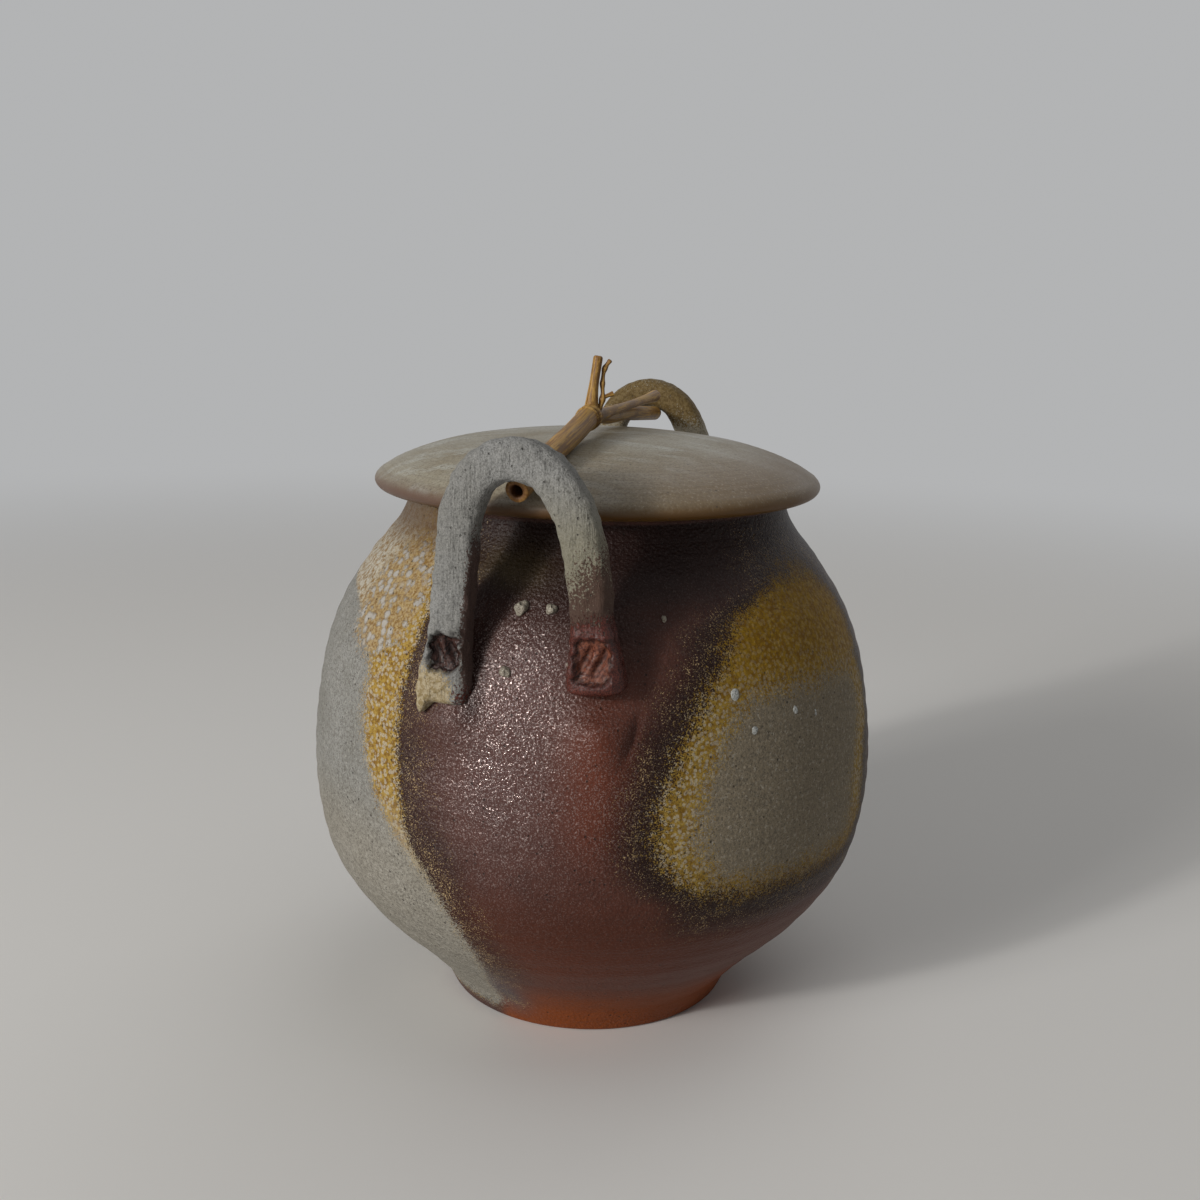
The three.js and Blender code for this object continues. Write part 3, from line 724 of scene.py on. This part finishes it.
front_arch_z = 0.1732
front_top_w = 0.0108
front_aside = 0.002
front_step = 0.0055
front_spur = 0.0042
front_rings, x, z, nicks, recess_shades, inner = lug_rings(
    front_arch_z, front_top_w, front_aside, front_step, 0.012, front_spur)
right_leg = rise(0.002, 0.010, x)
front_lug = skin("front_strap_lug", front_rings + (0, -lug_y, 0), {
    "fire": np.maximum(rise(0.142, 0.129, z + 0.3 * (0.022 - x)) * right_leg,
                       0.55 * rise(0.120, 0.110, z) * rise(-0.021, -0.014, x) * rise(0.002, -0.004, x)),
    "ochre": rise(0.126, 0.112, z) * rise(-0.012, -0.022, x),
    "olive": 0.6 * rise(0.174, 0.150, z) * rise(-0.004, 0.008, x),
    # Scorch low on the right leg, and painted shade on the inner side of the left leg
    "scorch_and_shade": np.maximum(0.9 * rise(0.168, 0.140, z + 0.9 * (0.024 - x)) * right_leg,
                         inner * rise(0.166, 0.140, z) * (x < 0)),
    "nick": nicks,
    "recess_shade": recess_shades,
})
front_lug.data.materials.append(lug_finish(
    "dry_grey_ash", dry=(0.285, 0.282, 0.272), dark=(0.225, 0.22, 0.203), ochre=(0.43, 0.355, 0.235),
    red=(0.100, 0.023, 0.015), rough=0.85, relief=0.0008))
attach(front_lug, "jar")
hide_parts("front_lug")

rear_arch_z = 0.1792
rear_top_w = 0.0094
rear_aside = -0.0007
rear_rings, x, z, nicks, recess_shades, _ = lug_rings(rear_arch_z, rear_top_w, rear_aside, 0, 0.005, 0)
rear_lug = skin("rear_strap_lug", rear_rings * (-1, -1, 1) + (0, lug_y, 0), {
    "fire": 0.9 * rise(0.128, 0.112, z) * rise(0.012, -0.012, x),
    "scorch_and_shade": 0.4 * rise(0.140, 0.118, z),
    "ochre": 0.75 * bell((z - 0.178) / 0.012),
    "nick": nicks,
    "recess_shade": recess_shades,
})
rear_lug.data.materials.append(lug_finish(
    "olive_ash", dry=(0.30, 0.265, 0.195), dark=(0.245, 0.212, 0.15), ochre=(0.165, 0.112, 0.042),
    red=(0.13, 0.04, 0.025), rough=0.7, relief=0.0003))
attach(rear_lug, "jar")
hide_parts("rear_lug")


# Kiln grit. Crumbs of clay and ash that fell on the shoulder in the firing and stuck there,
# most of them between the feet of the front lug. Each is given by its turn from the front, its
# height and its half sizes across and out of the wall.
grit = [
    (-2.0, 0.1336, 0.0017, 0.0013), (4.6, 0.1338, 0.0013, 0.0010), (-3.0, 0.1185, 0.0014, 0.0011),
    (9.5, 0.1210, 0.0010, 0.0008), (28.6, 0.1318, 0.0007, 0.0005),
]
grit_finish, tree, shader = new_finish("kiln_crumb")
grain = node(tree, "Group", {"Scale": 3000}, node_tree=kiln_grain).outputs["Grain"]
fill(tree, shader, {
    "Base Color": fade(tree, grain, 0.4, 0.62, (0.16, 0.13, 0.10), (0.36, 0.33, 0.26)),
    "Roughness": ramp(tree, grain, 0.9, 0.2),
    "Normal": bump(tree, grain, 0.0003, 0.8),
})


def blob_rings(at_turn, at_height, half_w, half_tall, half_h, seed, uneven):
    """A lump half sunk in the jar's wall: an ellipsoid of given half sizes across, up and out of the
    wall, swollen and dented by waves of its two angles, standing square to the wall."""
    side = math.radians(at_turn)
    at_r = np.interp(at_height, jar_wall[:, 1], jar_wall[:, 0])
    slope = np.interp(at_height, jar_wall[:, 1], np.gradient(jar_wall[:, 0], jar_wall[:, 1]))
    lat = np.linspace(-0.47, 0.47, 13)[:, None] * np.pi
    lon = np.linspace(0, 2 * np.pi, 20, endpoint=False)[None, :]
    waves = 0.22 * np.sin(2 * lon + 2 * lat + seed) + 0.14 * np.sin(3 * lon - 4 * lat + 2 * seed)
    rough = 1 + uneven * waves
    out = half_h * np.sin(lat) * rough
    sideways = half_w * np.cos(lat) * np.cos(lon) * rough
    upward = half_tall * np.cos(lat) * np.sin(lon) * rough
    reach = at_r + out + slope * upward
    return np.stack([
        reach * math.sin(side) + sideways * math.cos(side),
        -reach * math.cos(side) + sideways * math.sin(side),
        at_height + upward - slope * out,
    ], axis=-1)


def stuck_lumps(name, lumps, finish, drawn_out, uneven):
    """Puts lumps on the jar's wall: each is taller than it is wide by drawn_out, and uneven says how
    far it is from an ellipsoid."""
    for number, (at_turn, at_height, half_w, half_h) in enumerate(lumps):
        rings = blob_rings(at_turn, at_height, half_w, drawn_out * half_w, half_h, number, uneven)
        piece = skin(f"{name}_{number + 1}", rings, {})
        piece.data.materials.append(finish)
        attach(piece, "jar")


stuck_lumps("kiln_grit", grit, grit_finish, 1, 0.7)


# Ash drops. Beads of melted ash that ran together on the right-hand field, pale and glassy,
# each given as the crumbs of grit are.
drops = [
    (41.3, 0.1127, 0.0012, 0.0004), (45.0, 0.1031, 0.0009, 0.0003),
    (55.4, 0.1060, 0.0009, 0.0004), (61.2, 0.1038, 0.0008, 0.0003),
]
drop_finish, tree, shader = new_finish("ash_drop")
grain = node(tree, "Group", {"Scale": 2600}, node_tree=kiln_grain).outputs["Grain"]
fill(tree, shader, {
    "Base Color": fade(tree, grain, 0.35, 0.65, (0.20, 0.20, 0.185), (0.44, 0.45, 0.43)),
    "Roughness": level(tree, ramp(tree, grain, 0.3, 0.7), 0.18, 0.4),
    "Normal": bump(tree, grain, 0.0002, 0.5),
})
stuck_lumps("ash_drop", drops, drop_finish, 1.35, 0.4)


# Lid. A wide, low dome turned in the same clay, with a rolled edge and a flange below that
# drops into the jar's mouth. Fine rings from turning show through a thin tan ash.
lid_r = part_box("lid")[1].x
crown_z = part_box("lid")[1].z
flange_gap = 0.0009
flange_r = mouth_r - flange_gap
flange_h = 0.008
flange_t = 0.005
flange_taper = 0.0005
flange_round = 0.0008
lid_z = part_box("lid")[0].z + flange_h
lid_edge_h = 0.0052
lid_roll = 0.005
lid_t = 0.0075
hollow_step = 0.001
hollow_sag = 0.0022
turning_step = 0.0021
turning_depth = 0.00004
lid_columns = 360

# Share of the ridge's radius and of the dome's fall; then of the roll's depth and its height
dome_shape = [(0, 0), (0.27, 0.04), (0.44, 0.12), (0.58, 0.22), (0.71, 0.35), (0.85, 0.585),
              (0.94, 0.8), (1, 1)]
roll_shape = [(0.26, 1), (0.05, 0.75), (0, 0.5), (0.18, 0.22), (0.64, 0.04), (1, 0)]
dome_rise = crown_z - lid_z - lid_edge_h
ridge_r = lid_r - lid_roll * roll_shape[0][0]
dome = curve_through([(ridge_r * s, crown_z - dome_rise * fall) for s, fall in dome_shape], 90)
roll = curve_through([(lid_r - lid_roll * s, lid_z + lid_edge_h * up) for s, up in roll_shape], 22)
hollow_r = flange_r - flange_t
ceiling_z = crown_z - lid_t
skirt = soft_corners([
    (lid_r - lid_roll, lid_z), (flange_r, lid_z), (flange_r - flange_taper, lid_z - flange_h),
    (hollow_r, lid_z - flange_h), (hollow_r, lid_z + hollow_step),
], flange_round, 4)
hollow = curve_through([
    (hollow_r, lid_z + hollow_step), (0.62 * hollow_r, ceiling_z - hollow_sag), (axis_hole, ceiling_z),
], 14)
lid_profile = np.vstack([dome[1:], roll[1:], skirt[1:], hollow[1:]])[::-1]
lid_top = np.zeros((len(lid_profile), 1))
lid_top[-len(dome) + 1:] = 1
turn = degrees_round(lid_columns)
level_round = np.ones_like(turn)
height, radius = lid_profile[:, 1:], lid_profile[:, :1]
rings_cut = turning_depth * np.sin(2 * np.pi * radius / turning_step + 0.3 * np.sin(np.radians(turn)))
lid_rings = turned_rings(lid_profile, lid_columns, np.zeros_like(turn))
lid_rings[..., 2] += lid_top * rings_cut * rise(ridge_r, ridge_r - 0.004, radius)
lid = skin("domed_lid", lid_rings, {
    "rim": rise(lid_z + 0.0050, lid_z + 0.0018, height) * level_round,
    "warm": rise(-30, 60, turn) * rise(170, 100, turn) * rise(0.030, 0.062, radius),
    "blush": bell((turn + 40) / 42) * bell((height - lid_z - 0.0025) / 0.0028) * rise(0.06, 0.065, radius),
    "under": (1 - lid_top) * rise(lid_r - 0.004, lid_r - 0.006, radius) * level_round,
})

lid_finish, tree, shader = new_finish("tan_ash_lid")
place = node(tree, "TexCoord").outputs["Object"]
kiln = node(tree, "Group", {"Scale": 2000}, node_tree=kiln_grain).outputs
grain, drift = kiln["Grain"], kiln["Drift"]
out = node(tree, "VectorMath", {0: stretched(tree, place, 1, 1, 0)}, operation="LENGTH").outputs["Value"]
turning = noise(tree, node(tree, "CombineXYZ", {0: out}).outputs[0], 900, 3, 0.7)
smears = noise(tree, stretched(tree, place, 0.25, 1, 1), 170, 4, 0.65)
speckle = noise(tree, place, 1250, 4, 0.7)
tan = fade(tree, drift, 0.35, 0.68, (0.325, 0.298, 0.225), (0.27, 0.232, 0.158))
tan = fade(tree, smears, 0.49, 0.64, tan, (0.43, 0.425, 0.37), 0.85)
tan = lay(tree, mark(tree, "warm"), tan, (0.170, 0.113, 0.056))
tan = fade(tree, turning, 0.45, 0.7, tan, (0.16, 0.125, 0.09), 0.3)
tan = fade(tree, grain, 0.5, 0.36, tan, (0.14, 0.11, 0.08), 0.5)
tan = fade(tree, speckle, 0.5, 0.36, tan, (0.12, 0.085, 0.05), 0.5)
tan = fade(tree, speckle, 0.54, 0.68, tan, (0.40, 0.355, 0.28), 0.4)
tan = lay(tree, mark(tree, "rim"), tan, (0.105, 0.05, 0.011))
tan = lay(tree, mark(tree, "blush"), tan, (0.105, 0.062, 0.045), 0.95)
tan = lay(tree, kiln["Pits"], tan, (0.05, 0.038, 0.03), 0.7)
raw = fade(tree, grain, 0.4, 0.6, (0.20, 0.115, 0.07), (0.15, 0.085, 0.055))
relief = plus(tree, times(tree, turning, 0.9), times(tree, grain, 0.3))
relief = calc(tree, "SUBTRACT", relief, times(tree, kiln["Pits"], 0.5))
fill(tree, shader, {
    "Base Color": lay(tree, mark(tree, "under"), tan, raw),
    "Roughness": level(tree, ramp(tree, drift, 0.3, 0.7), 0.34, 0.46),
    "Specular IOR Level": 0.24,
    "Normal": bump(tree, relief, 0.0002, 0.5),
})
lid.data.materials.append(lid_finish)
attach(lid, "lid")
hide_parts("lid")


# Bamboo stick. A thin culm cut across at both ends, with one joint and the stubs of its
# branches, laid over the lid and tucked under the lugs so that it holds the lid down.
culm_r = 0.00315
culm_thin = 0.0008
rear_r = culm_r - culm_thin
stick_gap = 0.0004
stick_skew = 0.0028
stick_lift = 0.001
front_tuck = 0.0008
front_drop = 0.0006
rear_tuck = 0.0012
lug_back_y = lug_y - lug_d / 2
node_y = -0.0145
node_swell = 0.00055
node_half_l = 0.0017
scar_back = 0.0040
scar_swell = 0.00045
groove_back = 0.0029
groove_depth = 0.0005
fluting_depth = 0.00006
bore_r = 0.0017
bore_depth = 0.009
cut_round = 0.0004
cut_drop = 0.0003
stub_h = 0.0172
stub_r = 0.0014
twig_r = 0.00075
side_l = 0.066
side_r = 0.0014
culm_rows = 640
culm_sides = 48
bore_rows = 8
branch_grid = (70, 28)


def dome_z(y):
    """Height of the lid's dome over a place on the Y axis."""
    return np.interp(abs(y), dome[:, 0], dome[:, 1])


def tube_rings(line, radii, sides, upright):
    """Rings of given radii square to a line. The first spoke of each is square to the line and to
    the direction upright."""
    heading = headings(line)
    sideways = np.cross(upright, heading)
    sideways /= np.linalg.norm(sideways, axis=1)[:, None]
    over = np.cross(heading, sideways)
    angle = np.linspace(0, 2 * np.pi, sides, endpoint=False)[None, :, None]
    spokes = sideways[:, None] * np.cos(angle) + over[:, None] * np.sin(angle)
    return line[:, None] + radii * spokes


def straightened(line, radii, sides):
    """Where each point would lie if the line were pulled straight along X, for the fibres."""
    angle = np.linspace(0, 2 * np.pi, sides, endpoint=False)[None, :]
    return np.stack([lengths(line)[:, None] + 0 * angle,
                     radii[..., 0] * np.cos(angle), radii[..., 0] * np.sin(angle)], axis=-1)


def end_z(arch_z, top_w, tuck, radius):
    """Height of a stick's middle where its end lies a tuck behind a lug's edge, under the rounded
    section of the lug and a gap below it."""
    share = 1 - (2 * tuck + radius / 2) / lug_d
    return arch_z - top_w / 2 * (1 - share ** lug_square) ** (1 / lug_square) - radius - stick_gap


# Share of the way to the lugs, of the skew and of the lift off the lid
stick_course = [(-0.717, -0.2, 0.3), (-0.455, 0.2, 0.35), (node_y / lug_back_y, 0.4, 2.2),
                (0.083, 0.45, 1.1), (0.35, 0.5, 1.4), (0.6, 0.55, 2.5)]
front_end_z = end_z(front_arch_z, front_top_w, front_tuck, culm_r) - front_drop
rear_end_z = end_z(rear_arch_z, rear_top_w, rear_tuck, rear_r)
culm_knots = [(-stick_skew, -lug_back_y - front_tuck, front_end_z)]
for way, skew, lift in stick_course:
    y = lug_back_y * way
    radius = rear_r if y > node_y else culm_r
    culm_knots.append((stick_skew * skew, y, dome_z(y) + radius + stick_gap + stick_lift * lift))
culm_knots.append((stick_skew * 0.6, lug_back_y + rear_tuck, rear_end_z))
culm_line = curve_through(culm_knots, culm_rows)
gone = lengths(culm_line)
knot = gone - np.interp(node_y, culm_line[:, 1], gone)
scar = bell((knot + scar_back) / 0.0004)
groove = bell((knot + groove_back) / 0.0006)
thinning = culm_thin * rise(-node_half_l, 2 * node_half_l, knot)
swell = node_swell * bell((knot + 0.0008) / (1.3 * node_half_l)) + scar_swell * scar - groove_depth * groove
angle = np.linspace(0, 2 * np.pi, culm_sides, endpoint=False)[None, :]
fluting = fluting_depth * np.sin(3 * angle + gone[:, None] * 40)
from_end = np.minimum(gone, gone[-1] - gone)
end_cut = np.minimum(1, np.sqrt(np.clip(from_end / cut_round, 0.3, 1)))[:, None]
culm_radii = (culm_r - thinning + swell)[:, None] + fluting - cut_drop * (1 - end_cut)

# The skin walks out of the front bore, along the culm and into the rear bore
bore_in = np.searchsorted(gone, bore_depth)
front_bore = np.linspace(bore_in, 0, bore_rows).astype(int)
rear_bore = np.linspace(culm_rows - 1, culm_rows - 1 - bore_in, bore_rows).astype(int)
culm_walk = np.concatenate([front_bore, np.arange(culm_rows), rear_bore])
bore_radii = np.full((bore_rows, culm_sides), bore_r)
walk_radii = np.vstack([bore_radii, culm_radii, bore_radii])[..., None]
culm_axis = culm_line[:, None]
culm_outside = tube_rings(culm_line, culm_radii[..., None], culm_sides, (0, 0, 1))
spokes = (culm_outside - culm_axis) / culm_radii[..., None]
culm_rings = culm_axis[culm_walk] + walk_radii * spokes[culm_walk]
in_bore = np.zeros((len(culm_walk), culm_sides))
in_bore[:bore_rows] = 1
in_bore[-bore_rows:] = 1
near_cut = rise(0.004, 0.0, from_end)
culm = skin("bamboo_culm", culm_rings, {
    "fibre": straightened(culm_line, culm_radii[..., None], culm_sides)[culm_walk],
    "bore": in_bore,
    "ring": np.broadcast_to(groove[culm_walk][:, None], in_bore.shape) * (1 - in_bore),
    "cut": np.broadcast_to(near_cut[culm_walk][:, None], in_bore.shape),
})

bamboo_finish, tree, shader = new_finish("dry_bamboo")
line = node(tree, "Attribute", attribute_name="fibre").outputs["Vector"]
streaks = noise(tree, stretched(tree, line, 0.025, 1, 1), 1500, 4, 0.75)
patches = noise(tree, stretched(tree, line, 0.3, 1, 1), 320, 4, 0.65)
straw = fade(tree, streaks, 0.38, 0.60, (0.165, 0.070, 0.013), (0.46, 0.27, 0.072))
straw = fade(tree, patches, 0.5, 0.62, straw, (0.15, 0.07, 0.02), 0.75)
straw = fade(tree, patches, 0.44, 0.32, straw, (0.48, 0.30, 0.105), 0.5)
straw = lay(tree, mark(tree, "ring"), straw, (0.045, 0.02, 0.008))
straw = lay(tree, mark(tree, "cut"), straw, (0.22, 0.10, 0.035), 0.5)
fill(tree, shader, {
    # Painted shade: the inside of each bore is darkened
    "Base Color": lay(tree, mark(tree, "bore"), straw, (0.10, 0.042, 0.016)),
    "Roughness": level(tree, ramp(tree, streaks, 0.3, 0.7), 0.36, 0.55),
    "Specular IOR Level": 0.25,
    "Normal": bump(tree, streaks, 0.0002, 0.7),
})

joint = np.array([np.interp(node_y, culm_line[:, 1], column) for column in culm_line.T])


def branch(name, course, length, thickness, radius, upright):
    """A side shoot from the joint: a round tube on a smooth line, its course in shares of its length
    and its thickness in shares of its radius, with its two ends rounded over."""
    rows, sides = branch_grid
    line = curve_through(np.array(course) * length + joint, rows)
    share = np.linspace(0, 1, rows)
    thick = radius * steady(share, np.linspace(0, 1, len(thickness)), thickness)
    ends = rounded_end(np.minimum(share, 1 - share) * length / (0.6 * radius), 0.03)
    radii = np.broadcast_to((thick * (0.55 + 0.45 * ends))[:, None, None], (rows, sides, 1))
    return skin(name, tube_rings(line, radii, sides, upright), {
        "fibre": straightened(line, radii, sides),
        "cut": np.broadcast_to(rise(0.94, 1, share)[:, None], branch_grid),
        "ring": np.broadcast_to(bell((share - 0.06) / 0.04)[:, None], branch_grid) * 0.6,
        "bore": np.zeros(branch_grid),
    })


stub_course = [(0, 0, 0.053), (0.02, 0.03, 0.4), (0.087, 0.087, 1)]
stub_shape = [1.65, 1.25, 1, 0.97, 1]
twig_course = [(0.08, 0.05, 0.05), (0.136, 0.08, 0.155), (0.169, 0.106, 0.31), (0.157, 0.13, 0.55),
               (0.182, 0.16, 0.785), (0.276, 0.17, 0.933)]
twig_shape = [1.6, 1.15, 1.0, 1.35, 0.85, 0.8, 1.1, 0.8, 0.78, 1.15, 0.8, 1.0]
nub_course = [(0.165, 0.106, 0.3), (0.25, 0.155, 0.345), (0.33, 0.2, 0.376)]
nub_shape = [1, 0.8, 0.85, 1.1]
side_course = [(0.012, 0.015, -0.002), (0.04, 0.33, 0.008), (0.06, 0.66, 0.014), (0.08, 1, 0.024)]
side_shape = [1.6, 1.15, 0.95, 0.95, 1.05, 1.4]
stick_pieces = [
    culm,
    branch("bamboo_stub", stub_course, stub_h, stub_shape, stub_r, (0, 1, 0)),
    branch("bamboo_twig", twig_course, stub_h, twig_shape, twig_r, (0, 1, 0)),
    branch("bamboo_nub", nub_course, stub_h, nub_shape, twig_r, (0, 1, 0)),
    branch("bamboo_side_shoot", side_course, side_l, side_shape, side_r, (0, 0, 1)),
]
for piece in stick_pieces:
    piece.data.materials.append(bamboo_finish)
    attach(piece, "stick")
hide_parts("bamboo_stick")


# Table, light and camera. A pale table top that fades into a pale backdrop; a wide window with
# a patch of bright sky in it on the left, and soft light from the ceiling and from the room
# behind; and the camera where the photographer stood.
table_half = 3.0
backdrop = (0.45, 0.455, 0.46)
haze_start = 0.45
haze_full = 1.3


def seen_directly(tree):
    """1 where the camera looks, also by way of a mirror or glass, and 0 for light on its way to the jar."""
    path = node(tree, "LightPath").outputs
    direct = calc(tree, "MAXIMUM", path["Is Camera Ray"], path["Is Glossy Ray"])
    return calc(tree, "MAXIMUM", direct, path["Is Transmission Ray"])


side = (-table_half, table_half)
table_mesh = bpy.data.meshes.new("table_top")
table_mesh.from_pydata([(x, y, 0) for y in side for x in side], [], [(0, 1, 3, 2)])
table = bpy.data.objects.new("table_top", table_mesh)
bpy.context.scene.collection.objects.link(table)
table_finish, tree, shader = new_finish("pale_table")
fill(tree, shader, {"Base Color": (0.80, 0.785, 0.76), "Roughness": 0.9, "Specular IOR Level": 0.15})
place = node(tree, "TexCoord").outputs["Object"]
away = node(tree, "VectorMath", {0: place}, operation="LENGTH").outputs["Value"]
haze = node(tree, "Emission", {"Color": backdrop, "Strength": 1.0})
distant = times(tree, ramp(tree, away, haze_start, haze_full), seen_directly(tree))
hazy = node(tree, "MixShader", {0: distant, 1: shader.outputs[0], 2: haze.outputs[0]})
tree.links.new(hazy.outputs[0], tree.nodes["Material Output"].inputs["Surface"])
table.data.materials.append(table_finish)

world = bpy.data.worlds.new("studio")
bpy.context.scene.world = world
world.use_nodes = True
tree = world.node_tree
sky_fill = tree.nodes["Background"]
fill(tree, sky_fill, {"Color": (0.95, 0.97, 1.0), "Strength": 0.15})
shown = node(tree, "Background", {"Color": backdrop, "Strength": 1.0})
seen = node(tree, "MixShader", {0: seen_directly(tree), 1: sky_fill.outputs[0], 2: shown.outputs[0]})
tree.links.new(seen.outputs[0], tree.nodes["World Output"].inputs["Surface"])

lamp_colour = (1.0, 0.985, 0.96)
aim_z = 0.08


def soft_lamp(name, turn, rise_angle, away, width, tall, watts):
    """A rectangular lamp that faces the jar's middle, placed by its turn from the front, its height
    angle and its distance."""
    lamp = bpy.data.lights.new(name, "AREA")
    lamp.shape = "RECTANGLE"
    lamp.size = width
    lamp.size_y = tall
    lamp.energy = watts
    lamp.color = lamp_colour
    turn, up = math.radians(turn), math.radians(rise_angle)
    flat = away * math.cos(up)
    made = bpy.data.objects.new(name, lamp)
    made.location = (flat * math.sin(turn), -flat * math.cos(turn), away * math.sin(up) + aim_z)
    made.rotation_euler = (math.pi / 2 - up, 0, turn)
    bpy.context.scene.collection.objects.link(made)


soft_lamp("window", -34, 18, 2.2, 0.60, 0.92, 24)
soft_lamp("sky", -34, 19, 2.16, 0.13, 0.20, 14.5)
soft_lamp("ceiling", 110, 74, 1.5, 1.4, 1.4, 3.4)
soft_lamp("room", 165, 42, 2.0, 1.4, 1.4, 3.4)

photo_size = 1200
focal_px = 1400
camera_place = (0.0015, -0.41972, 0.21572)
camera_turn = math.radians(13.7)
camera_tilt = math.radians(12.7)
camera_roll = math.radians(1.3)
lens = bpy.data.cameras.new("camera")
lens.sensor_width = 36
lens.lens = focal_px / photo_size * lens.sensor_width
lens.clip_start = 0.01
camera = bpy.data.objects.new("camera", lens)
camera.matrix_world = (Matrix.Rotation(camera_turn, 4, "Z") @ Matrix.Translation(camera_place)
                       @ Matrix.Rotation(math.pi / 2 - camera_tilt, 4, "X")
                       @ Matrix.Rotation(camera_roll, 4, "Z"))
bpy.context.scene.collection.objects.link(camera)
bpy.context.scene.camera = camera
bpy.context.scene.view_settings.view_transform = "Standard"
